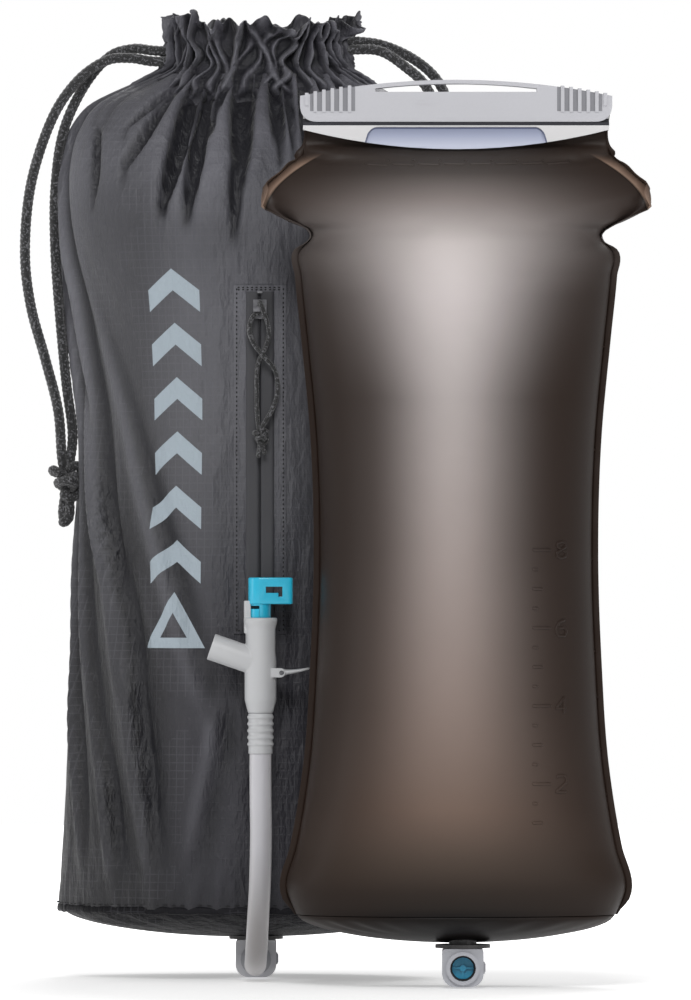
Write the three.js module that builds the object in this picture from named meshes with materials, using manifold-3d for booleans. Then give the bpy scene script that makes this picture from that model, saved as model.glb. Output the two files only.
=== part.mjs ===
// A 10-litre hydration bladder with a slide closure, shown bare, beside a second one packed in its
// drawstring cover with the dispensing hose and spigot plugged into its port.
// Millimetres, +Z up. X runs across the bladder and -Y is the front. The exported origin is the centre of
// the underside of the bare bladder's port; the sizes below are laid out from that bladder's axis.
import * as THREE from "three";
import { mergeVertices } from "three/addons/utils/BufferGeometryUtils.js";
import Module from "manifold-3d";

const wasm = await Module();
wasm.setup();

// ---------- driving dimensions ----------
const GAP = 0.4; // between neighbouring pieces
const FILM = 1.0; // film thickness
const SEAM_LIP = 4; // width of the welded side seam
const PANEL_BOTTOM = 44.8;
const MOUTH_TOP = 546;
const GUSSET_DROP = 17; // how far the base bulges below its weld
const PORT = { x: 4, y: -20, z: 11.5, bore: 8, width: 25.5, height: 23.5, front: 16, back: 12 };
const POPPET_TRAVEL = 3.5;
const RAIL = { half: 94.8, low: 518, rise: 12, padTop: 534.6, face: 9, bead: 6.6, web: 5, inner: 3 };
const SLIDER = { half: 96.7, low: 535, endTop: 551, top: 561, depth: 9, neck: 5.5, head: 7.2 };
const RIB = { count: 6, first: 66, pitch: 5.3, thick: 2.2, proud: 1 };
const COVER = { x: -128.9, y: 165, cloth: 1.0, base: 42.6, drop: 18, hole: 19.5 };
const HEM = { low: 572, high: 587, bulge: 7.6 };
const CORD = 3.2; // drawcord radius
const ZIP = { x: -122, y: 69, low: 217, high: 435, half: 14.5, window: 4, slider: 420 };
const HOSE = { x: -121.5, y: 45, outer: 6.9, inner: 4.8, top: 149.5 };
const SPIGOT = { low: 167.7, rim: 227.3, r: 9.8, bore: 6.9, spoutR: 8.4, spoutZ: 198.5 };
const TILT = THREE.MathUtils.degToRad(19); // the spout's rise above the horizontal

// ---------- finishes ----------
const finish = (color, roughness, extra = {}) =>
  new THREE.MeshStandardMaterial({ color, roughness, metalness: 0, ...extra });
const filmSmoke = finish(0x5c5048, 0.4, { transparent: true, opacity: 0.85 });
const railWhite = finish(0xe6e4e4, 0.3);
const sliderGrey = finish(0xbcbcc2, 0.45);
const portGrey = finish(0x8f9096, 0.4);
const valveBlue = finish(0x2fb4d8, 0.3);
const rubberBlack = finish(0x1b1b1d, 0.7);
const steel = finish(0xb9bcc0, 0.3, { metalness: 1 });
const clothBlack = finish(0x35353a, 0.6);
const tapeBlack = finish(0x26262a, 0.8);
const cordBlack = finish(0x1c1c1e, 0.7);
const hoseGrey = finish(0xa5a5aa, 0.35);
const spigotGrey = finish(0xbcbcbe, 0.5);

// ---------- tools ----------
const root = new THREE.Group();
root.name = "hydration_bladder";
root.position.set(-PORT.x, -PORT.y, 0);

function add(name, geometry, material, group = root) {
  const mesh = new THREE.Mesh(geometry, material);
  mesh.name = name;
  group.add(mesh);
  return mesh;
}

function solid(geometry) {
  const bare = new THREE.BufferGeometry().setAttribute("position", geometry.getAttribute("position"));
  if (geometry.index) bare.setIndex(geometry.index);
  const merged = mergeVertices(bare, 1e-3);
  return new wasm.Manifold(
    new wasm.Mesh({
      numProp: 3,
      vertProperties: merged.attributes.position.array,
      triVerts: new Uint32Array(merged.index.array),
    }),
  );
}

function shape3d(manifold) {
  const mesh = manifold.getMesh();
  return new THREE.BufferGeometry()
    .setAttribute("position", new THREE.BufferAttribute(new Float32Array(mesh.vertProperties), 3))
    .setIndex(new THREE.BufferAttribute(new Uint32Array(mesh.triVerts), 1));
}

const join = (...parts) => shape3d(parts.map(solid).reduce((a, b) => a.add(b)));
const cut = (body, ...tools) => shape3d(tools.map(solid).reduce((a, b) => a.subtract(b), solid(body)));

// A smooth curve through [z, value] stations, as a function of z.
function stations(...points) {
  const slope = points.map((p, i) => {
    const a = points[Math.max(i - 1, 0)];
    const b = points[Math.min(i + 1, points.length - 1)];
    return (b[1] - a[1]) / (b[0] - a[0]);
  });
  return (z) => {
    const last = points.length - 2;
    let i = 0;
    while (i < last && z > points[i + 1][0]) i++;
    const [z0, v0] = points[i];
    const [z1, v1] = points[i + 1];
    const h = z1 - z0;
    const t = THREE.MathUtils.clamp((z - z0) / h, 0, 1);
    const ease = t * t * (3 - 2 * t);
    return (
      v0 * (1 - ease) + v1 * ease +
      h * slope[i] * t * (1 - t) ** 2 - h * slope[i + 1] * t * t * (1 - t)
    );
  };
}

// A closed sheet between two grids of points. `around` joins the last column to the first.
function sheet(outer, inner, around = false) {
  const rows = outer.length;
  const cols = outer[0].length;
  const points = [...outer.flat(), ...inner.flat()];
  const at = (side, r, c) => side * rows * cols + r * cols + (c % cols);
  const faces = [];
  const quad = (a, b, c, d) => faces.push(a, b, c, a, c, d);
  const lastCol = around ? cols : cols - 1;
  for (let r = 0; r < rows - 1; r++) {
    for (let c = 0; c < lastCol; c++) {
      quad(at(0, r, c), at(0, r, c + 1), at(0, r + 1, c + 1), at(0, r + 1, c));
      quad(at(1, r, c), at(1, r + 1, c), at(1, r + 1, c + 1), at(1, r, c + 1));
    }
    if (!around) {
      quad(at(0, r, 0), at(0, r + 1, 0), at(1, r + 1, 0), at(1, r, 0));
      quad(at(0, r, cols - 1), at(1, r, cols - 1), at(1, r + 1, cols - 1), at(0, r + 1, cols - 1));
    }
  }
  for (let c = 0; c < lastCol; c++) {
    quad(at(0, 0, c), at(1, 0, c), at(1, 0, c + 1), at(0, 0, c + 1));
    quad(at(0, rows - 1, c), at(0, rows - 1, c + 1), at(1, rows - 1, c + 1), at(1, rows - 1, c));
  }
  const geometry = new THREE.BufferGeometry().setFromPoints(points.map((p) => new THREE.Vector3(...p)));
  geometry.setIndex(faces);
  return faceOut(geometry);
}

// Turns every face round if the solid is inside out.
function faceOut(geometry) {
  const p = geometry.getAttribute("position");
  const index = geometry.index.array;
  const [a, b, c] = [new THREE.Vector3(), new THREE.Vector3(), new THREE.Vector3()];
  let volume = 0;
  for (let i = 0; i < index.length; i += 3) {
    a.fromBufferAttribute(p, index[i]);
    b.fromBufferAttribute(p, index[i + 1]);
    c.fromBufferAttribute(p, index[i + 2]);
    volume += a.dot(b.cross(c));
  }
  if (volume < 0) geometry.setIndex([...index].reverse());
  return geometry;
}

const box = (x0, x1, y0, y1, z0, z1) =>
  new THREE.BoxGeometry(x1 - x0, y1 - y0, z1 - z0).translate((x0 + x1) / 2, (y0 + y1) / 2, (z0 + z1) / 2);
const rodZ = (r, z0, z1, x = 0, y = 0, sides = 20) =>
  new THREE.CylinderGeometry(r, r, z1 - z0, sides).rotateX(Math.PI / 2).translate(x, y, (z0 + z1) / 2);
const rodY = (r, y0, y1, x = 0, z = 0, sides = 20) =>
  new THREE.CylinderGeometry(r, r, y1 - y0, sides).translate(x, (y0 + y1) / 2, z);
const rodX = (r, x0, x1, y = 0, z = 0, sides = 24) =>
  new THREE.CylinderGeometry(r, r, x1 - x0, sides).rotateZ(Math.PI / 2).translate((x0 + x1) / 2, y, z);
const torus = (r, wire) => new THREE.TorusGeometry(r, wire, 6, 16);

// An outline drawn in X and Z, made solid from y0 to y1.
function plateY(outline, y0, y1, curveSegments = 10) {
  return new THREE.ExtrudeGeometry(outline, { depth: y1 - y0, bevelEnabled: false, curveSegments })
    .rotateX(Math.PI / 2)
    .translate(0, y1, 0);
}

// A round tube along points, hollow when `bore` is given.
function tube(points, radius, { bore = 0, steps = 24, sides = 8, closed = false } = {}) {
  const path = new THREE.CatmullRomCurve3(points.map((p) => new THREE.Vector3(...p)), closed);
  const ring = new THREE.Shape().absarc(0, 0, radius, 0, 2 * Math.PI);
  if (bore) ring.holes.push(new THREE.Path().absarc(0, 0, bore, 0, 2 * Math.PI));
  return new THREE.ExtrudeGeometry(ring, {
    extrudePath: path, steps, bevelEnabled: false, curveSegments: sides,
  });
}

// A coil spring along +Y from y0 to y1.
function coil(radius, wire, y0, y1, turns) {
  const points = [];
  const perTurn = 8;
  for (let i = 0; i <= turns * perTurn; i++) {
    const a = (2 * Math.PI * i) / perTurn;
    const y = y0 + wire + ((y1 - y0 - 2 * wire) * i) / (turns * perTurn);
    points.push([radius * Math.cos(a), y, radius * Math.sin(a)]);
  }
  return tube(points, wire, { steps: turns * 8, sides: 3 });
}

// ---------- bladder film ----------
const filmHalfWidth = stations(
  [44.8, 99], [59, 105], [85, 99], [135, 91], [200, 86.5], [263, 84.5], [340, 86.5], [400, 92],
  [440, 96.5], [455, 97], [464, 93], [473, 106], [484, 118], [497, 117], [509, 106], [518, 95], [531, 91],
  [546, 90],
);
const filmHalfDepth = stations(
  [44.8, 61], [59, 64], [90, 70], [140, 76.5], [263, 78], [400, 77.5], [440, 74], [464, 65], [484, 48],
  [498, 31], [509, 15], [517, 3.4], [524, 2.4], [546, 2.2],
);
const filmPinch = stations([44.8, 1], [440, 1], [470, 1.5], [490, 1.9], [546, 2]);
const panelRows = [
  44.8, 51, 59, 80, 120, 190, 263, 340, 410, 446, 456, 464, 473, 483, 498, 509, 518, 531, 546,
];

function filmPanel(side) {
  const spans = 10;
  const outer = [];
  const inner = [];
  for (const z of panelRows) {
    const w = filmHalfWidth(z);
    const d = filmHalfDepth(z);
    const seam = GAP / 2;
    const rowOut = [[-w - SEAM_LIP, side * (seam + FILM), z]];
    const rowIn = [[-w - SEAM_LIP, side * seam, z]];
    for (let k = 0; k <= spans; k++) {
      const a = Math.PI * (k / spans - 0.5);
      const crown = Math.max(Math.cos(a), 0) ** filmPinch(z);
      rowOut.push([w * Math.sin(a), side * (seam + FILM + (d - FILM) * crown), z]);
      rowIn.push([(w - FILM) * Math.sin(a), side * (seam + (d - FILM) * crown), z]);
    }
    rowOut.push([w + SEAM_LIP, side * (seam + FILM), z]);
    rowIn.push([w + SEAM_LIP, side * seam, z]);
    outer.push(rowOut);
    inner.push(rowIn);
  }
  return sheet(outer, inner);
}

// A dished base with a hole where the port passes through.
function dish({ halfWidth, halfDepth, rim, drop, holeX, holeY, holeR, thick }) {
  const rings = 4;
  const sides = 24;
  const lower = [];
  const upper = [];
  for (let i = 0; i <= rings; i++) {
    const t = i / rings;
    const low = [];
    const high = [];
    for (let k = 0; k < sides; k++) {
      const a = (2 * Math.PI * k) / sides;
      const x = (1 - t) * (holeX + holeR * Math.cos(a)) + t * halfWidth * Math.cos(a);
      const y = (1 - t) * (holeY + holeR * Math.sin(a)) + t * halfDepth * Math.sin(a);
      const rho = Math.min((x / halfWidth) ** 2 + (y / halfDepth) ** 2, 1);
      const z = rim - drop * (1 - rho) ** 0.8;
      low.push([x, y, z]);
      high.push([x, y, z + thick]);
    }
    lower.push(low);
    upper.push(high);
  }
  return sheet(lower, upper, true);
}

// ---------- port with its shut-off valve ----------
function portOutline() {
  const { width, height } = PORT;
  const [low, high] = [8, 2]; // corner radii
  const h = width / 2;
  return new THREE.Shape()
    .moveTo(-h + low, 0)
    .lineTo(h - low, 0)
    .absarc(h - low, low, low, -Math.PI / 2, 0)
    .lineTo(h, height - high)
    .absarc(h - high, height - high, high, 0, Math.PI / 2)
    .lineTo(-h + high, height)
    .absarc(-h + high, height - high, high, Math.PI / 2, Math.PI)
    .lineTo(-h, low)
    .absarc(-h + low, low, low, Math.PI, 1.5 * Math.PI);
}

function port(prefix, group, pushedIn) {
  const { z, bore, front, back, width, height } = PORT;
  const block = plateY(portOutline(), -front, back, 6);
  const body = cut(
    join(block, rodY(10.4, -front - 2, -front + 1, 0, z)),
    rodY(bore, -front - 3, 6.5, 0, z),
    rodY(bore + 0.7, -12, -9.8, 0, z),
    rodZ(4, z, height + 1, 0, 0, 16),
    box(width / 2 - 2.9, width / 2 + 1, -6, 4, z - 4, z + 4),
  );
  add(prefix + "port_housing", body, portGrey, group);
  const flange = cut(
    join(rodZ(17, 23.8, 26, 0, 0, 32), rodZ(8.5, 25, 31)),
    rodZ(4, 23, 32, 0, 0, 16),
  );
  add(prefix + "port_flange", flange, portGrey, group);
  const seal = torus(7.6, 0.85).rotateX(Math.PI / 2).translate(0, -10.9, z);
  add(prefix + "port_o_ring", seal, rubberBlack, group);
  const seat = pushedIn ? POPPET_TRAVEL : 0;
  const poppet = join(
    rodY(7.1, -6.5, -4.5, 0, z, 20),
    rodY(2, -8.5, 1, 0, z, 12),
    box(-6.6, 6.6, -8, -6, z - 0.6, z + 0.6),
    box(-0.6, 0.6, -8, -6, z - 6.6, z + 6.6),
  ).translate(0, seat, 0);
  add(prefix + "valve_poppet", poppet, valveBlue, group);
  const spring = coil(4.4, 0.55, -4.5 + GAP + seat, 6.5 - GAP, 4).translate(0, 0, z);
  add(prefix + "valve_spring", spring, steel, group);
  const button = join(
    box(width / 2 - 1.2, width / 2 + 0.8, -5.6, 3.6, z - 3.6, z + 3.6),
    box(width / 2 + 0.6, width / 2 + 1.3, -4.6, 2.6, z - 2.6, z + 2.6),
  );
  add(prefix + "release_button", button, portGrey, group);
}

// ---------- mouth rails and slide closure ----------
function arcBelow(half, low, rise, top) {
  const edge = low + rise;
  return new THREE.Shape()
    .moveTo(-half, top)
    .lineTo(-half, edge)
    .quadraticCurveTo(0, low - rise, half, edge)
    .lineTo(half, top)
    .closePath();
}

function mouthRail(side, half = RAIL.half) {
  const y = (a, b) => (side > 0 ? [a, b] : [-b, -a]);
  const pad = plateY(arcBelow(half, RAIL.low, RAIL.rise, RAIL.padTop), ...y(RAIL.inner, RAIL.face), 14);
  const recess = new THREE.Shape()
    .moveTo(-56, 519)
    .lineTo(-53, 530)
    .quadraticCurveTo(-51, 532, -48, 532)
    .lineTo(48, 532)
    .quadraticCurveTo(51, 532, 53, 530)
    .lineTo(56, 519)
    .closePath();
  return cut(
    join(
      pad,
      box(-half, half, ...y(RAIL.inner, RAIL.web), 533, 546),
      box(-half, half, ...y(RAIL.inner, RAIL.bead), 544.2, 548),
    ),
    plateY(recess, ...y(RAIL.face - 1.2, RAIL.face + 1), 6),
  );
}

const sliderTop = (x) => SLIDER.top - (SLIDER.top - SLIDER.endTop) * (x / SLIDER.half) ** 2;

function sliderOutline(half) {
  const { low, endTop, top } = SLIDER;
  return new THREE.Shape()
    .moveTo(-half + 10.7, low)
    .lineTo(half - 10.7, low)
    .quadraticCurveTo(half - 0.7, low, half, low + 10)
    .lineTo(half, endTop)
    .quadraticCurveTo(0, 2 * top - endTop, -half, endTop)
    .lineTo(-half, low + 10)
    .quadraticCurveTo(-half + 0.7, low, -half + 10.7, low);
}

function slideClosure(half = SLIDER.half, withGrips = true) {
  const { low, depth, neck, head, top } = SLIDER;
  const channelEnd = half - 1.5; // the right end is closed and stops the rails
  const slot = new THREE.Shape()
    .moveTo(-50, 553.5)
    .lineTo(50, 553.5)
    .lineTo(50, 555.6)
    .quadraticCurveTo(0, 2 * (top - 2.4) - 555.6, -50, 555.6)
    .closePath();
  const ribs = [];
  for (let i = 0; withGrips && i < RIB.count; i++) {
    const x = RIB.first + RIB.pitch * i;
    const bottom = i === RIB.count - 1 ? 545 : 541;
    for (const c of [x, -x]) {
      ribs.push(
        box(c - RIB.thick / 2, c + RIB.thick / 2, -depth - RIB.proud, depth + RIB.proud, bottom,
          sliderTop(c) + RIB.proud),
      );
    }
  }
  return cut(
    join(plateY(sliderOutline(half), -depth, depth, 14), ...ribs),
    box(-half - 1, channelEnd, -neck, neck, low - 1, 544),
    box(-half - 1, channelEnd, -head, head, 543.6, 549),
    plateY(slot, -depth - 2, depth + 2, 9),
  );
}

// ---------- bare bladder ----------
add("front_film_panel", filmPanel(-1), filmSmoke);
add("back_film_panel", filmPanel(1), filmSmoke);
const gusset = dish({
  halfWidth: 98.5, halfDepth: 60.6, rim: PANEL_BOTTOM - GAP - FILM, drop: GUSSET_DROP,
  holeX: PORT.x, holeY: PORT.y, holeR: 9.5, thick: FILM,
});
add("base_film_gusset", gusset, filmSmoke);
add("mouth_rail_front", mouthRail(-1), railWhite);
add("mouth_rail_back", mouthRail(1), railWhite);
add("slide_closure", slideClosure(), sliderGrey);
const barePort = new THREE.Group();
barePort.position.set(PORT.x, PORT.y, 0);
root.add(barePort);
port("", barePort, false);

// ---------- second bladder, inside the cover ----------
const covered = new THREE.Group();
covered.position.set(COVER.x, COVER.y, 0);
root.add(covered);

const innerHalfWidth = stations(
  [48, 98], [62, 103], [100, 100], [263, 92], [400, 92], [455, 96], [500, 94], [520, 90], [545, 88],
);
const innerHalfDepth = stations(
  [48, 74], [62, 80], [100, 82], [263, 80], [400, 78], [455, 66], [500, 30], [515, 3.2], [545, 2.8],
);

function coveredFilm() {
  const sides = 16;
  const outer = [];
  const inner = [];
  const ring = (fn) => Array.from({ length: sides }, (_, k) => fn((2 * Math.PI * k) / sides));
  for (const t of [0, 0.35, 0.7, 0.92]) {
    const at = (a, lift) => {
      const x = (1 - t) * (PORT.x + 9.5 * Math.cos(a)) + t * 98 * Math.cos(a);
      const y = (1 - t) * (PORT.y + 9.5 * Math.sin(a)) + t * 74 * Math.sin(a);
      const rho = Math.min((x / 98) ** 2 + (y / 74) ** 2, 1);
      return [x, y, 48 - 21.5 * (1 - rho) ** 0.8 + lift];
    };
    outer.push(ring((a) => at(a, 0)));
    inner.push(ring((a) => at(a, FILM)));
  }
  for (const z of [50, 62, 100, 263, 400, 455, 480, 500, 518, 545]) {
    const at = (a, t) => [
      (innerHalfWidth(z) - t) * Math.cos(a), (innerHalfDepth(z) - t) * Math.sin(a), z,
    ];
    outer.push(ring((a) => at(a, 0)));
    inner.push(ring((a) => at(a, FILM)));
  }
  return sheet(outer, inner, true);
}
add("covered_bladder_film", coveredFilm(), filmSmoke, covered);
const innerRail = (side) => {
  const y = side > 0 ? [3.4, 5] : [-5, -3.4];
  return box(-88, 88, ...y, 522, 547);
};
add("covered_mouth_rail_front", innerRail(-1), railWhite, covered);
add("covered_mouth_rail_back", innerRail(1), railWhite, covered);
add("covered_slide_closure", slideClosure(91, false), sliderGrey, covered);
const coveredPort = new THREE.Group();
coveredPort.position.set(PORT.x, PORT.y, 0);
covered.add(coveredPort);
port("covered_", coveredPort, true);

// ---------- cover ----------
const coverHalfWidth = stations(
  [43, 119], [60, 118.3], [111, 115], [174, 111.7], [237, 108], [300, 105.7], [364, 103.8], [396, 106.3],
  [427, 110], [459, 115.8], [490, 118.3], [513, 117], [535, 110.7], [551, 99], [562, 82], [570, 65],
  [576, 58], [584, 57], [592, 60], [604, 65],
);
const coverHalfDepth = stations(
  [43, 90], [60, 93], [90, 94.6], [150, 95], [380, 95], [440, 94.4], [490, 89], [513, 80], [535, 64],
  [551, 48], [562, 34], [570, 23], [576, 17.5], [584, 17], [592, 21], [604, 27],
);
const coverRows = [43, 60, 110, 237, 364, 427, 459, 490, 513, 535, 551, 563, 571, 577, 584, 604];

// A band that follows the cover's outline, `gap` outside it.
function band(rows, gap, thick, sides = 24) {
  const ring = (z, off) =>
    Array.from({ length: sides }, (_, k) => {
      const a = (2 * Math.PI * k) / sides;
      return [(coverHalfWidth(z) + off) * Math.cos(a), (coverHalfDepth(z) + off) * Math.sin(a), z];
    });
  const outer = rows.map((z, i) => ring(z, gap[i] + thick));
  const inner = rows.map((z, i) => ring(z, gap[i]));
  return sheet(outer, inner, true);
}

const ellipseRing = (a, b, z, radius) =>
  new THREE.ExtrudeGeometry(new THREE.Shape().absarc(0, 0, radius, 0, 2 * Math.PI), {
    steps: 32, bevelEnabled: false, curveSegments: 3,
    extrudePath: new THREE.CatmullRomCurve3(
      Array.from({ length: 24 }, (_, k) => {
        const t = (2 * Math.PI * k) / 24;
        return new THREE.Vector3(a * Math.cos(t), b * Math.sin(t), z);
      }), true),
  });

add("cover_fabric", band(coverRows, coverRows.map(() => -COVER.cloth), COVER.cloth), clothBlack, covered);
const coverBase = dish({
  halfWidth: 118.5, halfDepth: 89.5, rim: COVER.base - COVER.cloth, drop: COVER.drop,
  holeX: PORT.x, holeY: PORT.y, holeR: COVER.hole, thick: COVER.cloth,
});
add("cover_base", coverBase, clothBlack, covered);
add("cover_base_binding", ellipseRing(121.2, 92.2, 42.8, 1.6), clothBlack, covered);

const hemMiddle = (HEM.low + HEM.high) / 2;
const hemRows = [HEM.low, HEM.low + 3, hemMiddle, HEM.high - 3, HEM.high];
const hem = cut(
  band(hemRows, [1.3, 5, HEM.bulge, 5, 1.3], COVER.cloth),
  rodX(6, -90, 90, 0, hemMiddle, 16),
);
add("cover_neck_hem", hem, clothBlack, covered);
const loopA = coverHalfWidth(hemMiddle) + 4.3;
const loopB = coverHalfDepth(hemMiddle) + 4.3;
add("drawcord_hem_loop", ellipseRing(loopA, loopB, hemMiddle, 2.3), cordBlack, covered);

// ---------- drawcords ----------
// Each drawcord hangs as two strands from the end of the hem to a knot with two short tails.
function drawcord(front, back, knot, tails) {
  const ball = new THREE.SphereGeometry(1, 12, 8).scale(11, 9, 12).translate(...knot);
  return join(
    tube(front, CORD, { steps: 18, sides: 3 }),
    tube(back, CORD, { steps: 18, sides: 3 }),
    ball,
    ...tails.map((t) => tube([knot, [(knot[0] + t[0]) / 2, knot[1], (knot[2] + t[2]) / 2], t], CORD,
      { steps: 3, sides: 4 })),
  );
}
const leftCord = drawcord(
  [[-198, 158, 577], [-220, 152, 575], [-243, 150, 557], [-259, 150, 532], [-270, 152, 495],
    [-271, 154, 458], [-264, 155, 424], [-254, 154, 394], [-248, 153, 360], [-246, 153, 316]],
  [[-198, 165, 583], [-212, 166, 587], [-228, 165, 574], [-244, 163, 545], [-252.5, 162, 505],
    [-253.5, 162, 460], [-250, 161, 415], [-245, 160, 375], [-242.5, 159, 345], [-245, 156, 316]],
  [-247, 155, 313],
  [[-249, 153, 284], [-242, 158, 286]],
);
add("drawcord_left", leftCord, cordBlack);
const rightCord = drawcord(
  [[-60, 158, 584], [-44, 152, 582], [-28, 146, 573], [-14, 138, 558], [-6, 130, 534], [-4, 126, 496],
    [-5, 124, 450], [-8, 124, 400], [-10, 125, 360], [-12, 127, 316]],
  [[-60, 165, 590], [-37, 161, 586], [-18, 154, 576], [-3, 146, 561], [5, 138, 537], [8, 134, 496],
    [6, 132, 450], [1, 131, 400], [-5, 130, 360], [-9, 129, 316]],
  [-11, 128, 313],
  [[-14, 126, 284], [-7, 131, 286]],
);
add("drawcord_right", rightCord, cordBlack);

// ---------- pocket zip ----------
const zip = new THREE.Group();
zip.position.set(ZIP.x, ZIP.y, 0);
root.add(zip);
const { window: zipWindow, low: zipLow, high: zipHigh, half: zipHalf } = ZIP;
const placket = cut(
  box(-zipHalf, zipHalf, -1, 0, zipLow, zipHigh),
  box(-zipWindow, zipWindow, -2, 1, zipLow + 5, zipHigh - 5),
);
add("zip_placket", placket, clothBlack, zip);
for (const [name, side] of [["left", -1], ["right", 1]]) {
  const strip = (a, b, y0, y1) =>
    side > 0 ? box(a, b, y0, y1, zipLow + 6, zipHigh - 6) : box(-b, -a, y0, y1, zipLow + 6, zipHigh - 6);
  add(`zip_tape_${name}`, strip(1.9, 3.6, -0.9, 0), tapeBlack, zip);
  add(`zip_coil_${name}`, strip(0.2, 1.6, -1.7, -0.1), tapeBlack, zip);
}
add("zip_top_stop", box(-1.6, 1.6, -4.4, -2.1, zipHigh - 5, zipHigh - 3.6), steel, zip);
add("zip_bottom_stop", box(-2.4, 2.4, -3.4, -2.1, zipLow + 6, zipLow + 9), steel, zip);
const zipBody = join(
  box(-4.2, 4.2, -5, -2.1, ZIP.slider - 6, ZIP.slider + 6),
  box(-4.1, -3, -9.8, -4, ZIP.slider - 1.6, ZIP.slider + 1.6),
  box(3, 4.1, -9.8, -4, ZIP.slider - 1.6, ZIP.slider + 1.6),
  box(-4.1, 4.1, -9.8, -8.5, ZIP.slider - 1.6, ZIP.slider + 1.6),
);
add("zip_slider", zipBody, steel, zip);
const pullTop = ZIP.slider;
const pullLoop = tube(
  [[0, -6.75, pullTop], [0, -8.2, pullTop + 3.9], [0, -10.4, pullTop + 3.6], [0, -11.5, pullTop],
    [-3, -10.8, pullTop - 14], [0.5, -9, pullTop - 32], [5, -8.6, pullTop - 48], [3, -8.4, pullTop - 68],
    [0, -8.2, pullTop - 76], [-2.6, -8, pullTop - 68], [-1.5, -7.9, pullTop - 48], [-1, -7.6, pullTop - 32],
    [2.6, -7, pullTop - 14]],
  1.25, { steps: 42, sides: 3, closed: true });
const pullKnot = new THREE.SphereGeometry(1, 12, 8).scale(5, 3.6, 6).translate(0, -8, pullTop - 78);
const pullTails = [-1, 1].map((s) =>
  tube(
    [[0, -8, pullTop - 78], [s * 1.5, -8, pullTop - 84], [s * 2.4, -8, pullTop - 90]],
    1.25,
    { steps: 3, sides: 3 },
  ),
);
add("zip_pull_cord", join(pullLoop, pullKnot, ...pullTails), cordBlack, zip);

// ---------- hose ----------
const hosePort = { y: COVER.y + PORT.y - PORT.front - 2, z: PORT.z };
const plugX = COVER.x + PORT.x;
const plug = join(
  rodY(6.3, hosePort.y - 1, hosePort.y + 12.5, plugX, hosePort.z),
  rodY(9.6, hosePort.y - 6.5, hosePort.y - GAP, plugX, hosePort.z),
  rodY(4.3, hosePort.y - 16, hosePort.y - 6, plugX, hosePort.z, 20),
);
add("hose_plug", cut(plug, rodY(3.2, hosePort.y - 20, hosePort.y + 14, plugX, hosePort.z, 16)), portGrey);
const hosePath = [
  [plugX, hosePort.y - 7, 11.5], [plugX, 112, 11.5], [plugX, 98, 10], [plugX, 80, 9.8],
  [plugX + 0.6, 61, 17],
  [plugX + 1.4, 50, 34], [HOSE.x, HOSE.y + 0.4, 58], [HOSE.x, HOSE.y, 84], [HOSE.x, HOSE.y, 115],
  [HOSE.x, HOSE.y, HOSE.top],
];
add("hose", tube(hosePath, HOSE.outer, { bore: HOSE.inner, steps: 18, sides: 6 }), hoseGrey);

// ---------- spigot ----------
const spigot = new THREE.Group();
spigot.position.set(HOSE.x, HOSE.y, 0);
root.add(spigot);

function lathe(...profile) {
  return new THREE.LatheGeometry(profile.map(([r, z]) => new THREE.Vector2(r, z)), 18).rotateX(Math.PI / 2);
}
const cuffTop = SPIGOT.low - GAP;
const cuffRibs = Array.from({ length: 5 }, (_, i) => 147 + 4.2 * i)
  .flatMap((z) => [[7.5, z], [8.3, z + 0.6], [8.3, z + 1.8], [7.5, z + 2.4]]);
const cuff = lathe(
  [HOSE.outer + 0.2, 142.6], [7.5, 142.6], ...cuffRibs, [7.5, cuffTop], [HOSE.inner, cuffTop],
  [HOSE.inner, 150], [HOSE.outer + 0.2, 150], [HOSE.outer + 0.2, 142.6],
);
add("spigot_cuff", cuff, spigotGrey, spigot);

const spout = (r, from, to) =>
  new THREE.CylinderGeometry(r, r, to - from, 28)
    .rotateZ(Math.PI / 2)
    .translate(-(from + to) / 2, 0, 0)
    .rotateY(TILT)
    .translate(0, 0, SPIGOT.spoutZ);
const backTab = cut(
  rodZ(SPIGOT.r + 0.3, 224, 238, 0, 0, 32),
  rodZ(8.3, 223, 239, 0, 0, 32),
  box(-2, 12, -12, 12, 220, 240),
  box(-12, 12, 3, 12, 220, 240),
);
const hubX = 13.2;
const hubZ = 193;
const lug = (y0, y1) => box(4, hubX + 2.4, y0, y1, hubZ - 3.2, hubZ + 3);
const shell = lathe(
  [0, SPIGOT.low], [7.9, SPIGOT.low], [SPIGOT.r, 176], [SPIGOT.r, 200], [9.4, 206], [9.4, 221],
  [10.6, 225], [10.6, SPIGOT.rim], [0, SPIGOT.rim],
);
const spigotBody = cut(
  join(shell, spout(SPIGOT.spoutR, 4, 33), backTab, lug(5.7, 7.6), lug(-7.6, -5.7)),
  rodZ(SPIGOT.bore, 184, 230),
  rodZ(HOSE.inner, 166, 186, 0, 0, 20),
  spout(6.6, 0, 34),
  rodY(1.5, -9, 9, hubX, hubZ, 12),
);
add("spigot_body", spigotBody, spigotGrey, spigot);

const head = new THREE.Shape().absarc(0, 0, 7.6, Math.PI / 2, 1.5 * Math.PI)
  .lineTo(18, -6.5).lineTo(20.2, -4.5).lineTo(20.2, 4.5).lineTo(18, 6.5).closePath();
const headBlock = new THREE.ExtrudeGeometry(head, { depth: 16.6, bevelEnabled: false, curveSegments: 12 })
  .translate(0, 0, 235.8);
const lock = cut(
  join(headBlock, rodZ(6.5, 207, 237)),
  box(3.4, 13.7, -9, 9, 242.8, 246.7),
  cut(rodZ(7.5, 211, 213.2), rodZ(5.2, 210, 214)),
);
add("spigot_lock", lock, valveBlue, spigot);
add("spigot_lock_o_ring", torus(6.15, 0.7).translate(0, 0, 212.1), rubberBlack, spigot);

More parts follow.
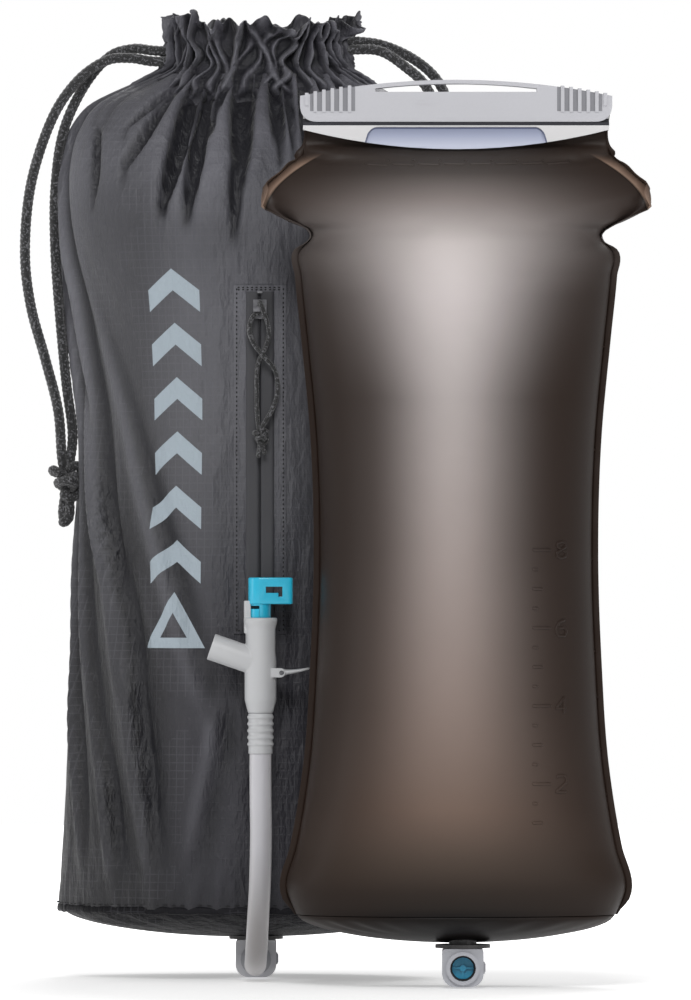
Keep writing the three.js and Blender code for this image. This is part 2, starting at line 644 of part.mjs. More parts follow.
const leverSide = new THREE.Shape()
  .moveTo(hubX, hubZ - 2)
  .quadraticCurveTo(20, hubZ - 1, 29, hubZ + 2)
  .lineTo(29, hubZ + 4)
  .quadraticCurveTo(20, hubZ + 3.4, hubX, hubZ + 2)
  .closePath();
const lever = cut(
  join(plateY(leverSide, -5.3, 5.3, 8), rodY(2.3, -5.3, 5.3, hubX, hubZ, 16)),
  rodY(1.5, -8, 8, hubX, hubZ, 12),
);
add("spigot_lever", lever, spigotGrey, spigot);
add("spigot_lever_pin", rodY(1.15, -7.6, 7.6, hubX, hubZ, 12), steel, spigot);

const part = new THREE.Group();
part.add(root);
export default part;
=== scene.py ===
"""Looks for the hydration bladder kit: the bare film bladder and its twin in the drawstring cover.

Every length is in metres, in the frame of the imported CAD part. MM turns millimetres into metres.
"""
import math

import bmesh
import bpy
import numpy as np
from mathutils import Matrix, Vector
from mathutils.bvhtree import BVHTree


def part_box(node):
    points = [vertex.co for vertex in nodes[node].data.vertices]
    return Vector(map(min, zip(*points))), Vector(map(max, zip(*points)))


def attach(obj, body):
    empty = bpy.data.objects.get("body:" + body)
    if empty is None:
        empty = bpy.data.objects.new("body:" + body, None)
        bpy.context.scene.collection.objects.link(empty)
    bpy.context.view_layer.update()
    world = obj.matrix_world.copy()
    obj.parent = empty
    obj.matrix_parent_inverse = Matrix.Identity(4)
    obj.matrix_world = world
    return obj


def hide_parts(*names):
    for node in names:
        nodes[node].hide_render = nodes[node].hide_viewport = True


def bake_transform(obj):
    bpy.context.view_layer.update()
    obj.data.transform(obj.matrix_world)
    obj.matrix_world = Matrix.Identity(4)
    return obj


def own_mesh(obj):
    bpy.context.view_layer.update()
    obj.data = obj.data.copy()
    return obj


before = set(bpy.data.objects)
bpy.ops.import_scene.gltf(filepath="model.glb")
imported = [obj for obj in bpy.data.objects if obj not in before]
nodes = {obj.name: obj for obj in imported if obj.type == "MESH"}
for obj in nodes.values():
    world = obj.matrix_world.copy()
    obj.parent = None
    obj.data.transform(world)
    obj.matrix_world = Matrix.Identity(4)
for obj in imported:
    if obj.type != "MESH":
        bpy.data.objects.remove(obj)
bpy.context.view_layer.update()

MM = 0.001
SENSOR_MM = 36.0
CAMERA_DISTANCE = 8.0
VIEW_HEIGHT = 0.62  # the height of the picture at the bladder
VIEW_CENTRE_X = -72.5 * MM
VIEW_CENTRE_Z = 300.7 * MM
SHEET = 0.6  # thickness of the sewn cloth and the base film, in millimetres


def centre(node):
    low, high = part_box(node)
    return (low + high) / 2


def smooth_step(t):
    t = np.clip(t, 0.0, 1.0)
    return t * t * (3 - 2 * t)


def curve_through(*points):
    """A smooth function of one variable through (position, value) points."""
    where, value = np.array(points, float).T
    slope = np.gradient(value, where)

    def at(s):
        s = np.clip(np.asarray(s, float), where[0], where[-1])
        i = np.clip(np.searchsorted(where, s) - 1, 0, len(where) - 2)
        h = where[i + 1] - where[i]
        t = (s - where[i]) / h
        a, b = value[i], value[i + 1]
        keep = (1 + 2 * t) * (1 - t) ** 2
        return (
            keep * a
            + (1 - keep) * b
            + h * slope[i] * t * (1 - t) ** 2
            - h * slope[i + 1] * t * t * (1 - t)
        )

    return at


# ---------------------------------------------------------------- materials
class Graph:
    """One node material, built by naming shader nodes and what feeds them."""

    def __init__(self, name):
        self.material = bpy.data.materials.new(name)
        self.material.use_nodes = True
        self.tree = self.material.node_tree
        self.tree.nodes.clear()
        self.bsdf = self.add("ShaderNodeBsdfPrincipled")
        output = self.add("ShaderNodeOutputMaterial")
        self.tree.links.new(self.bsdf.outputs[0], output.inputs["Surface"])

    def feed(self, socket, value):
        if isinstance(value, bpy.types.NodeSocket):
            self.tree.links.new(value, socket)
        elif value is not None:
            socket.default_value = value

    def add(self, kind, inputs=None, **settings):
        node = self.tree.nodes.new(kind)
        for key, value in settings.items():
            setattr(node, key, value)
        for key, value in (inputs or {}).items():
            self.feed(node.inputs[key], value)
        return node

    def math(self, operation, *values):
        node = self.add("ShaderNodeMath", operation=operation)
        for socket, value in zip(node.inputs, values):
            self.feed(socket, value)
        return node.outputs[0]

    def plus(self, a, b):
        return self.math("ADD", a, b)

    def minus(self, a, b):
        return self.math("SUBTRACT", a, b)

    def times(self, *values):
        product = values[0]
        for value in values[1:]:
            product = self.math("MULTIPLY", product, value)
        return product

    def over(self, a, b):
        return self.math("DIVIDE", a, b)

    def more(self, a, b):
        """1 where a is more than b, else 0."""
        return self.math("GREATER_THAN", a, b)

    def less(self, a, b):
        return self.math("LESS_THAN", a, b)

    def size(self, a, middle=0.0):
        """How far a lies from middle."""
        return self.math("ABSOLUTE", self.math("SUBTRACT", a, middle))

    def mix(self, factor, a, b, blend="MIX"):
        node = self.add("ShaderNodeMix", data_type="RGBA", blend_type=blend)
        self.feed(node.inputs[0], factor)
        self.feed(node.inputs[6], a)
        self.feed(node.inputs[7], b)
        return node.outputs[2]

    def ramp(self, factor, *stops):
        """Colours between stops, each given as (place, grey) or as (place, red, green, blue)."""
        node = self.add("ShaderNodeValToRGB", {"Fac": factor})
        elements = node.color_ramp.elements
        while len(elements) < len(stops):
            elements.new(0.5)
        for element, (place, *colour) in zip(elements, stops):
            element.position = place
            element.color = srgb(*colour) if len(colour) == 3 else grey(*colour)
        return node.outputs[0]

    def noise(self, scale, detail=3.0, vector=None, rough=0.5):
        settings = {"Scale": scale, "Detail": detail, "Roughness": rough, "Vector": vector}
        return self.add("ShaderNodeTexNoise", settings).outputs["Fac"]

    def place(self):
        """The point's place in the frame, as separate x, y and z sockets and as a vector."""
        vector = self.add("ShaderNodeTexCoord").outputs["Object"]
        parts = self.add("ShaderNodeSeparateXYZ", {"Vector": vector})
        return vector, parts.outputs[0], parts.outputs[1], parts.outputs[2]

    def uv(self):
        vector = self.add("ShaderNodeUVMap").outputs[0]
        parts = self.add("ShaderNodeSeparateXYZ", {"Vector": vector})
        return vector, parts.outputs[0], parts.outputs[1]

    def bump(self, height, strength, distance):
        settings = {"Height": height, "Strength": strength, "Distance": distance}
        return self.add("ShaderNodeBump", settings).outputs[0]

    def set(self, **inputs):
        for key, value in inputs.items():
            self.feed(self.bsdf.inputs[key.replace("_", " ")], value)
        return self.material


def grey(value):
    return (value, value, value, 1.0)


def srgb(r, g, b):
    """A colour given as 0 to 255 display values, as the shader's linear colour."""

    def linear(c):
        return ((c / 255 + 0.055) / 1.055) ** 2.4 if c > 10 else c / 255 / 12.92

    return (linear(r), linear(g), linear(b), 1.0)


def moulded(name, colour, roughness=0.38, coat=0.0):
    """Injection-moulded plastic: a fine spark-eroded grain and a faint unevenness of gloss and colour."""
    g = Graph(name)
    vector = g.place()[0]
    fine = g.noise(2600.0, 2.0, vector)
    broad = g.noise(60.0, 3.0, vector)
    darker = tuple(0.8 * c for c in colour[:3]) + (1.0,)
    shade = g.mix(g.times(broad, 0.35), colour, darker)
    rough = g.plus(roughness - 0.06, g.times(broad, 0.12))
    normal = g.bump(fine, 0.10, 0.08 * MM)
    return g.set(Base_Color=shade, Roughness=rough, Normal=normal, Coat_Weight=coat)


def ripstop(name, printed=False, tone=1.0):
    """Coated ripstop nylon: plain weave and a fine reinforcing grid every 5 mm, painted lighter on its
    shoulders and on the ridges of its folds, with painted shade towards its bottom, its neck, its left side
    and in its hollows; tone scales how light the copy is painted.
    """
    g = Graph(name)
    _, u, v = g.uv()
    vector, x, y, z = g.place()

    def threads(coordinate, pitch, sharp):
        wave = g.math("SINE", g.times(coordinate, 2 * math.pi / pitch))
        return g.math("POWER", g.math("MULTIPLY_ADD", wave, 0.5, 0.5), sharp)

    weave = g.math("MAXIMUM", threads(u, 0.42 * MM, 1.0), threads(v, 0.42 * MM, 1.0))
    grid = g.math("MAXIMUM", threads(u, 5.0 * MM, 40.0), threads(v, 5.0 * MM, 40.0))
    patchy = g.more(g.noise(26.0, 2.0, vector), 0.46)
    crinkle = g.noise(120.0, 6.0, vector, 0.62)
    cloud = g.noise(7.0, 3.0, vector)
    relief = g.add("ShaderNodeAttribute", {}, attribute_name="relief").outputs["Fac"]
    up = g.over(z, 0.6)
    # Painted light and shade up the cover: lightest on the shoulders, darker towards the neck and much
    # darker towards the bottom.
    body = g.ramp(up, (0.05, 33, 32, 36), (0.10, 50, 49, 56), (0.33, 49, 48, 54),
                  (0.44, 70, 70, 75), (0.56, 92, 92, 97), (0.70, 103, 103, 109),
                  (0.85, 99, 99, 106), (0.95, 72, 71, 78))
    # Painted shade down the left side, with a lighter painted edge at the far left; tone scales this painted
    # brightness.
    across = g.over(g.minus(x, COVER_X - 120 * MM), 240 * MM)
    shaded = g.ramp(across, (0.02, 0.66 * tone), (0.10, 0.36 * tone), (0.22, 0.40 * tone),
                    (0.34, 0.95 * tone), (0.60, 1.12 * tone), (0.85, 1.05 * tone))
    body = g.mix(1.0, body, shaded, "MULTIPLY")
    # More painted shade over the lower left.
    low_left = g.mix(g.ramp(up, (0.30, 1), (0.60, 0)), grey(1.0),
                     g.ramp(across, (0.20, 0.30), (0.38, 1.0)))
    body = g.mix(1.0, body, low_left, "MULTIPLY")
    body = g.mix(g.times(cloud, 0.35), body, srgb(44, 43, 49))
    body = g.mix(g.times(grid, patchy, 0.15), body, srgb(124, 123, 131))
    # Painted shade in the hollows of the folds and a painted highlight on their ridges, read from the relief
    # attribute.
    hollow = g.times(g.math("MAXIMUM", g.times(relief, -1.0), 0.0), 0.92)
    ridge = g.times(g.math("MAXIMUM", relief, 0.0), g.times(low_left, 0.30))
    shade = g.mix(hollow, body, srgb(17, 17, 24))
    shade = g.mix(ridge, shade, srgb(142, 142, 150))
    if printed:
        shade = g.mix(print_mask(g, u, v, y), shade, srgb(160, 172, 181))
    rough = g.math("MULTIPLY_ADD", crinkle, 0.22, 0.34)
    stretched = g.add("ShaderNodeVectorMath", {0: vector, 1: (46, 46, 15)}, operation="MULTIPLY").outputs[0]
    wrinkle = g.size(g.noise(1.0, 5.0, stretched, 0.55), 0.5)
    height = g.plus(g.times(weave, 0.22), g.times(grid, 0.35))
    height = g.plus(height, g.times(crinkle, 4.0))
    height = g.minus(height, g.times(wrinkle, 36.0))
    normal = g.bump(height, 0.6, 0.4 * MM)
    g.set(Base_Color=shade, Roughness=rough, Normal=normal)
    return g.set(Sheen_Weight=0.12 * tone, Sheen_Roughness=0.4, Specular_IOR_Level=0.42 * tone)


def print_mask(g, u, v, y):
    """A plain printed decoration: a column of chevrons above one triangle, on the front of the cover."""
    half_width, arm_rise, side_rise = 17.0 * MM, 0.8, 1.75
    across = g.size(u, PRINT_U)
    lean = g.plus(v, g.times(across, arm_rise))
    step = g.math("FRACT", g.over(g.minus(lean, PRINT_LOW), PRINT_PITCH))
    column = g.times(g.more(lean, PRINT_LOW), g.less(lean, PRINT_HIGH))
    chevrons = g.times(g.less(across, half_width), g.less(step, 0.40), column)
    slope = g.plus(g.times(across, side_rise), v)

    def triangle(foot, tip):
        return g.times(g.less(slope, tip), g.more(v, foot))

    outline = g.times(triangle(208.0 * MM, 243.0 * MM), g.minus(1.0, triangle(214.5 * MM, 230.0 * MM)))
    ink = g.math("MAXIMUM", chevrons, outline)
    return g.times(ink, g.less(y, COVER_Y - 30 * MM))


def smoky_film(name):
    """Frosted smoke-brown film full of water: painted light makes a pale glow down the middle, and painted
    shade darkens its sides and base.
    """
    g = Graph(name)
    vector, x, _, z = g.place()
    up = g.over(z, 0.55)
    # Painted light and shade by height: the glow is brightest high on the film and dark towards the base and
    # under the rails; width sets how far across it reaches.
    glow = g.ramp(up, (0.060, 14, 12, 12), (0.083, 20, 17, 16), (0.088, 34, 29, 26),
                  (0.108, 46, 38, 33), (0.145, 78, 66, 58), (0.20, 112, 94, 84),
                  (0.316, 134, 119, 112), (0.49, 154, 143, 139), (0.66, 168, 160, 158),
                  (0.775, 196, 188, 187), (0.835, 194, 186, 184), (0.885, 136, 127, 124),
                  (0.915, 78, 72, 69), (0.945, 50, 46, 44))
    width = g.ramp(up, (0.10, 0.90), (0.145, 0.72), (0.20, 0.55), (0.316, 0.42),
                   (0.49, 0.35), (0.66, 0.34), (0.775, 0.47), (0.835, 0.65),
                   (0.885, 0.72), (0.93, 0.70))
    # Painted shade towards the sides: fall drops from the glow in the middle to dark at the film's edges.
    off = g.minus(x, BLADDER_X - 4 * MM)
    share = g.over(g.over(off, 100 * MM), width)
    fall = g.math("POWER", 0.33, g.times(share, share))
    shade = g.mix(fall, srgb(38, 27, 21), glow)
    mottle = g.noise(26.0, 4.0, vector)
    shade = g.mix(g.times(mottle, 0.12), shade, srgb(50, 43, 40))
    # Painted light and shade on the shoulder corners that fold forward: a dark painted crease, then a
    # painted highlight on the turned strip beyond it.
    across = g.size(x, BLADDER_X)
    rise = g.over(g.minus(z, 480 * MM), 30 * MM)
    curve = g.times(rise, g.math("MULTIPLY_ADD", rise, 22 * MM, 5 * MM))
    turn_line = g.minus(118 * MM, curve)
    turn = g.plus(g.over(g.minus(across, turn_line), 12 * MM), 0.1)
    turned = g.ramp(turn, (0.1, 26, 21, 18), (0.24, 138, 115, 100), (0.5, 112, 92, 80),
                    (0.95, 62, 51, 44))
    ear = g.ramp(up, (0.866, 0), (0.876, 1), (0.924, 1), (0.936, 0))
    shade = g.mix(g.times(ear, g.ramp(turn, (0.02, 0), (0.1, 1))), shade, turned)
    frost = g.noise(900.0, 3.0, vector)
    ripple = g.noise(45.0, 3.0, vector)
    relief = g.plus(g.times(frost, 0.12), ripple)
    normal = g.bump(relief, 0.25, 0.25 * MM)
    rough = g.math("MULTIPLY_ADD", frost, 0.10, 0.38)
    return g.set(Base_Color=shade, Roughness=rough, Normal=normal, Specular_IOR_Level=0.14)


def closure_plastic(name):
    """Light grey satin moulding, with painted shade in the hollows between its grip ribs."""
    g = Graph(name)
    vector, x, y, z = g.place()
    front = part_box("slide_closure")[0].y
    across = g.size(x, BLADDER_X)
    ribbed = g.times(g.more(across, 62.5 * MM), g.less(across, 90.5 * MM), g.more(z, 541.5 * MM))
    behind = g.more(g.minus(y, front), 0.75 * MM)
    # Painted shade: the hollows between the ribs, behind their fronts, are painted dark grey.
    hollow = g.times(ribbed, behind, 0.62)
    grain = g.noise(700.0, 3.0, vector)
    shade = g.mix(g.times(grain, 0.25), srgb(186, 186, 191), srgb(170, 170, 175))
    shade = g.mix(hollow, shade, srgb(70, 71, 77))
    normal = g.bump(grain, 0.12, 0.2 * MM)
    return g.set(Base_Color=shade, Roughness=0.36, Normal=normal)


def rail_plastic(name):
    """Glossy white rail with a shallow panel in the middle painted in bluish shade, darker towards its top
    and dark along its edge, and a painted shadow line along the rail's top under the closure.
    """
    panel_half, panel_low, panel_high, corner, rim = 57.5 * MM, 517 * MM, 531.6 * MM, 5 * MM, 1.1 * MM
    shadow_line_low, shadow_line_high = 532.7 * MM, 537 * MM
    g = Graph(name)
    _, x, _, z = g.place()
    across = g.size(x, BLADDER_X)
    edge = g.minus(panel_half, g.times(g.minus(z, 519 * MM), 0.3))
    beside = g.math("MAXIMUM", g.minus(across, g.minus(edge, corner)), 0.0)
    above = g.math("MAXIMUM", g.minus(z, panel_high - corner), 0.0)
    reach = g.math("SQRT", g.plus(g.times(beside, beside), g.times(above, above)))
    inside = g.less(reach, corner)
    outline = g.times(g.more(reach, corner - rim), inside)
    up = g.over(g.minus(z, panel_low), 15 * MM)
    # Painted shade in the panel: bluish, darker towards its top, with a painted dark outline inside its
    # edge.
    panel = g.ramp(up, (0.0, 206, 210, 224), (0.6, 160, 166, 188), (1.0, 120, 127, 150))
    shade = g.mix(inside, srgb(208, 207, 208), panel)
    shade = g.mix(g.times(outline, 0.8), shade, srgb(66, 72, 98))
    # Painted shadow: the lip mask paints a dark line along the rail's top, where the closure above shades
    # it.
    lip = g.times(g.more(z, shadow_line_low), g.less(z, shadow_line_high))
    shade = g.mix(lip, shade, srgb(44, 44, 50))
    return g.set(Base_Color=shade, Roughness=0.25, Coat_Weight=0.3)


def braided_cord(name, colour, light):
    """Braided cord: crossing yarns with a painted highlight on their crests, and pale painted flecks where
    single yarns catch the light.
    """
    g = Graph(name)
    _, u, v = g.uv()
    pitch = 1.7 * MM

    def yarn(sign):
        lean = g.math("MULTIPLY_ADD", v, sign, u)
        return g.math("SINE", g.times(lean, 2 * math.pi / pitch))

    weave = g.times(yarn(1.0), yarn(-1.0))
    fuzz = g.noise(2400.0, 3.0, g.place()[0])
    fleck = g.noise(700.0, 2.0, g.place()[0])
    # Painted highlights: the yarns' crests and scattered flecks are painted towards the light colour.
    shade = g.mix(g.times(g.math("MAXIMUM", weave, 0.0), 0.3), colour, light)
    shade = g.mix(g.times(g.more(fleck, 0.57), 0.8), shade, light)
    height = g.plus(weave, g.times(fuzz, 0.5))
    normal = g.bump(height, 0.8, 0.25 * MM)
    return g.set(Base_Color=shade, Roughness=0.6, Normal=normal, Sheen_Weight=0.3)


def hose_rubber(name):
    """Soft milky tube: painted paler towards its edges, where the view grazes its wall, so it looks darker
    down the middle; darker towards the bottom near the plug.
    """
    g = Graph(name)
    vector, _, _, z = g.place()
    facing = g.add("ShaderNodeLayerWeight", {"Blend": 0.45}).outputs["Facing"]
    cloud = g.noise(30.0, 3.0, vector)
    low = g.ramp(g.over(z, 0.14), (0.0, 104, 98, 95), (0.25, 138, 135, 135),
                 (0.6, 196, 195, 200), (0.9, 206, 205, 210))
    # Painted light: the colour turns paler where the tube faces away from the view.
    shade = g.mix(g.times(facing, 0.8), low, srgb(228, 226, 228))
    shade = g.mix(g.times(cloud, 0.2), shade, srgb(120, 117, 117))
    normal = g.bump(cloud, 0.1, 0.3 * MM)
    return g.set(Base_Color=shade, Roughness=0.34, Normal=normal, Subsurface_Weight=0.15,
                 Subsurface_Radius=(0.004, 0.004, 0.004), Coat_Weight=0.15)


def plain_film(name):
    """The same smoke-brown film on the bladder hidden in the cover."""
    g = Graph(name)
    mottle = g.noise(30.0, 3.0, g.place()[0])
    return g.set(Base_Color=g.mix(mottle, srgb(70, 62, 58), srgb(92, 82, 77)), Roughness=0.4)


def dark_metal(name):
    """Plated zip metal, paler and rougher in random patches."""
    g = Graph(name)
    pale_patches = g.noise(320.0, 4.0, g.place()[0])
    shade = g.mix(pale_patches, srgb(66, 66, 70), srgb(150, 150, 154))
    return g.set(Base_Color=shade, Metallic=0.85, Roughness=g.math("MULTIPLY_ADD", pale_patches, 0.2, 0.28))


# ---------------------------------------------------------------- mesh helpers
def make_object(name, vertices, faces, material=None, smooth=True, uv=None):
    """A mesh object from vertices in metres. uv holds one (u, v) pair for each vertex."""
    mesh = bpy.data.meshes.new(name)
    mesh.from_pydata([tuple(v) for v in vertices], [], [tuple(f) for f in faces])
    if uv is not None:
        corners = np.zeros(len(mesh.loops), np.int64)
        mesh.loops.foreach_get("vertex_index", corners)
        layer = mesh.uv_layers.new(name="UVMap")
        layer.data.foreach_set("uv", np.asarray(uv, np.float32)[corners].ravel())
    if smooth:
        mesh.polygons.foreach_set("use_smooth", [True] * len(mesh.polygons))
    mesh.update()
    if material:
        mesh.materials.append(material)
    return into_scene(name, mesh)


def into_scene(name, data):
    """A new object that shows a mesh, a light or a camera."""
    thing = bpy.data.objects.new(name, data)
    bpy.context.scene.collection.objects.link(thing)
    return thing


def grid_faces(rows, cols, wrap=False):
    faces = []
    for r in range(rows - 1):
        for c in range(cols if wrap else cols - 1):
            a = r * cols + c
            b = r * cols + (c + 1) % cols
            faces.append((a, b, b + cols, a + cols))
    return faces


def end_faces(rows, cols):
    """The two flat ends of a wrapped grid."""
    return [tuple(range(cols - 1, -1, -1)), tuple(range((rows - 1) * cols, rows * cols))]


def joining_faces(rows, cols):
    """The faces that join the last row of a wrapped grid to its first."""
    last = (rows - 1) * cols
    return [(last + c, last + (c + 1) % cols, (c + 1) % cols, c) for c in range(cols)]


def full_turn(count):
    """Evenly spaced angles round a circle."""
    return np.arange(count) * 2 * np.pi / count


def grid_points(x, y, z):
    """A list of points from coordinates that are broadcast over one grid."""
    return np.stack(np.broadcast_arrays(x, y, z), -1).reshape(-1, 3)


def vertex_array(thing, what="co"):
    """The places ("co") or the normals ("normal") of a mesh's vertices."""
    out = np.zeros(len(thing.data.vertices) * 3)
    thing.data.vertices.foreach_get(what, out)
    return out.reshape(-1, 3)


def move_vertices(thing, points):
    thing.data.vertices.foreach_set("co", points.astype(np.float32).ravel())
    thing.data.update()


def smooth_faces(thing):
    thing.data.polygons.foreach_set("use_smooth", [True] * len(thing.data.polygons))


def thicken(thing):
    """Gives a sheet of cloth or film its thickness."""
    solid = thing.modifiers.new("thickness", "SOLIDIFY")
    solid.thickness = SHEET * MM


def round_edges(thing, width, segments, angle):
    """Bevels the edges sharper than angle, in degrees; width is in millimetres."""
    edge = thing.modifiers.new("rounded_edges", "BEVEL")
    edge.width = width * MM
    edge.segments = segments
    edge.limit_method = "ANGLE"
    edge.angle_limit = math.radians(angle)
    return edge


def fix(thing, body, slot, *stands_for):
    """Puts a piece on its body, in place of the CAD nodes that it stands for; its slot argument is not used.
    """
    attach(thing, body)
    if stands_for:
        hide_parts(*stands_for)


def relax_cloth(thing, frames, pins, pressure, stiffness, bending, rest=None, quality=6):
    """Runs Blender's cloth on a mesh whose pinned vertices stay, and leaves the result as plain vertices."""
    group = thing.vertex_groups.new(name="pins")
    for i in np.nonzero(pins)[0]:
        group.add([int(i)], float(pins[i]), "REPLACE")
    if rest is not None:
        thing.shape_key_add(name="Basis")
        key = thing.shape_key_add(name="flat")
        key.data.foreach_set("co", np.asarray(rest, np.float32).ravel())
        key.value = 0.0
    cloth = thing.modifiers.new("cloth", "CLOTH")
    settings = cloth.settings
    settings.quality = quality
    settings.mass = 0.15
    settings.tension_stiffness = settings.compression_stiffness = stiffness
    settings.shear_stiffness = stiffness * 0.4
    settings.bending_stiffness = bending
    settings.tension_damping = settings.compression_damping = settings.shear_damping = 8
    settings.air_damping = 4
    settings.vertex_group_mass = "pins"
    settings.use_pressure = True
    settings.uniform_pressure_force = pressure
    settings.effector_weights.gravity = 0.0
    if rest is not None:
        settings.rest_shape_key = key
    cloth.collision_settings.use_collision = False
    scene = bpy.context.scene
    cloth.point_cache.frame_start = 1
    cloth.point_cache.frame_end = frames
    for number in range(1, frames + 1):
        scene.frame_set(number)
    shape = bpy.data.meshes.new_from_object(thing.evaluated_get(bpy.context.evaluated_depsgraph_get()))
    result = np.zeros(len(shape.vertices) * 3)
    shape.vertices.foreach_get("co", result)
    bpy.data.meshes.remove(shape)
    result = result.reshape(-1, 3)
    scene.frame_set(1)
    thing.modifiers.remove(cloth)
    if rest is not None:
        thing.shape_key_clear()
    thing.vertex_groups.clear()
    move_vertices(thing, result)
    return result


# ---------------------------------------------------------------- bare bladder film
BLADDER_X = centre("slide_closure").x
BLADDER_Y = centre("slide_closure").y
FLAT_HALF = 127.0  # half the width of the empty film, lying flat
FILM_SHOULDER = (452.0, 486.0)  # heights up the flat film where its corners start and the mouth begins
MOUTH_HALF = 94.5  # half the width of the mouth that the rails hold
FILM_TOP = 529.0  # the length of the flat film, from the base weld to the mouth
FILM_COLS = 76
EAR_Z = 482.0  # height of the shoulder corners, which fold forward
EAR_SPREAD = 13.0
EAR_FORWARD = 20.0
FILM_HELD_FROM = 521.0  # height from which the rails hold the film


def film_flat_half(v):
    low, high = FILM_SHOULDER
    return FLAT_HALF + (MOUTH_HALF - FLAT_HALF) * np.clip((v - low) / (high - low), 0, 1)


film_height = curve_through(
    (0, 44), (100, 142), (300, 340), (400, 437), (452, 482), (486, 508), (508, 524), (529, 546),
)
film_half_width = curve_through(
    (44, 99), (59, 105), (85, 99), (135, 91), (200, 86.5), (263, 84.5), (340, 86.5), (400, 92), (440, 96),
    (455, 97), (462, 91), (468, 92), (474, 106), (481, 119), (492, 121), (505, 108), (516, 97), (546, 94.5),
)
film_half_depth = curve_through(
    (44, 60), (59, 62), (110, 72), (263, 77), (400, 76), (440, 72), (464, 62), (484, 44), (498, 25),
    (509, 9), (517, 2.6), (546, 2.3),
)


def make_film(material):
    """The filled film: the cloth solver blows up its flat pattern between the base weld and the rails."""
    coarse, fine, fine_from = 3.6, 2.3, 395.0
    cols = 2 * FILM_COLS
    k = np.arange(cols)
    across = np.where(k <= FILM_COLS, -1 + 2 * k / FILM_COLS, 1 - 2 * (k - FILM_COLS) / FILM_COLS)
    side = np.where(k <= FILM_COLS, -1.0, 1.0)
    seam = (k == 0) | (k == FILM_COLS)
    v = np.concatenate([np.arange(0, fine_from, coarse), np.arange(fine_from, FILM_TOP + 1, fine)])[:, None]
    z = film_height(v)
    wide, deep = film_half_width(z), film_half_depth(z)
    angle = np.pi / 2 * across
    shape = np.cos(angle) ** np.interp(z, [440, 480, 546], [1.0, 1.6, 0.6])
    ear = np.exp(-(((z - EAR_Z) / EAR_SPREAD) ** 2)) * np.abs(across) ** 6
    y = side * deep * np.where(seam, 0, shape) - EAR_FORWARD * ear
    start = grid_points(wide * np.sin(angle), y, z)
    flat = grid_points(film_flat_half(v) * across, np.where(seam, 0, side * 0.2), v)
    tip = seam[None, :] & (np.abs(z - EAR_Z) < 2.0)
    pins = ((v <= 0) | (z >= FILM_HELD_FROM) | tip).astype(float).reshape(-1)
    uv = flat[:, [0, 2]] * MM
    film = make_object("bladder_film", start * MM, grid_faces(len(v), cols, True), material, uv=uv)
    relax_cloth(film, 40, pins, 6.0, 60.0, 1.0, rest=flat * MM)
    move_vertices(film, vertex_array(film) + np.array([BLADDER_X, BLADDER_Y, 0]))
    fix(film, "bladder", None, "front_film_panel", "back_film_panel")
    return film, len(v)


def side_seams(film_points, rows):
    """The two side welds of the film, from the base up to the rails, as (points, outward, along) arrays."""
    cols = 2 * FILM_COLS
    grid = film_points.reshape(rows, cols, 3)
    seams = []
    for column in (0, FILM_COLS):
        line = grid[:, column]
        inward = (grid[:, (column + 1) % cols] + grid[:, column - 1]) / 2
        out = line - inward
        along = np.gradient(line, axis=0)
        along /= np.linalg.norm(along, axis=1, keepdims=True)
        out -= (out * along).sum(1, keepdims=True) * along
        for _ in range(3):
            out = (np.roll(out, 1, 0) + 2 * out + np.roll(out, -1, 0)) / 4
        out /= np.linalg.norm(out, axis=1, keepdims=True)
        seams.append((line, out, along))
    return seams


def make_side_welds(film_points, rows, material):
    """The flat welded lips outside the side seams, with a slight ripple along them."""
    lip, thick = 4.2 * MM, 0.45 * MM
    for name, (line, out, along) in zip(("left", "right"), side_seams(film_points, rows)):
        across = np.cross(out, along)
        height = line[:, 2]
        ripple = 0.35 * MM * np.sin(height * 210.0) + 0.25 * MM * np.sin(height * 517.0 + 1.0)
        ends = smooth_step((height - height[0]) / (12 * MM)) * smooth_step((0.522 - height) / (8 * MM))
        width = lip * (0.25 + 0.75 * ends)
        rings = []
        for reach, half in ((-0.5 * MM, 0.8), (0.35, 1.15), (0.5, 0.75), (0.92, 0.75), (1.0, 0.3)):
            shift = np.full_like(width, reach) if reach < 0 else reach * width
            spot = line + out * shift[:, None] + across * (ripple * np.clip(shift / lip, 0, 1))[:, None]
            rings.append((spot, half * thick))
        loop = [spot + across * half for spot, half in rings]
        loop += [spot - across * half for spot, half in reversed(rings)]
        verts = np.stack(loop, 1).reshape(-1, 3)
        faces = grid_faces(len(line), len(loop), True) + end_faces(len(line), len(loop))
        weld = make_object(f"side_weld_{name}", verts, faces, material)
        fix(weld, "bladder", "film")


def make_base(material, name, body, slot, node, axis, half_width, half_depth, rim_z, drop, hole, wrinkle):
    """A soft dished base between its rim and the port: it bulges down and puckers at the rim.

    The sizes are in millimetres from the bag's axis, and hole is the (x, y, radius) of the port's opening.
    """
    rings, sides = 34, 160
    a = full_turn(sides)
    t = np.linspace(0, 1, rings)[:, None]
    hx, hy, hr = hole
    x = (1 - t) * (hx + hr * np.cos(a)) + t * half_width * np.cos(a)
    y = (1 - t) * (hy + hr * np.sin(a)) + t * half_depth * np.sin(a)
    rho = np.clip((x / half_width) ** 2 + (y / half_depth) ** 2, 0, 1)
    z = rim_z - drop * (1 - rho) ** 0.62
    pucker = wrinkle * np.sin(a * 23 + 1.7 * np.sin(3 * a)) * (0.6 + 0.4 * np.sin(5 * a + 1))
    z = z + pucker * smooth_step((t - 0.55) / 0.35) * (1 - smooth_step((t - 0.93) / 0.07))
    points = grid_points(x, y, z)
    verts = points * MM + np.array(axis)
    base = make_object(name, verts, grid_faces(rings, sides, True), material, uv=points[:, :2] * MM)
    thicken(base)
    fix(base, body, slot, node)


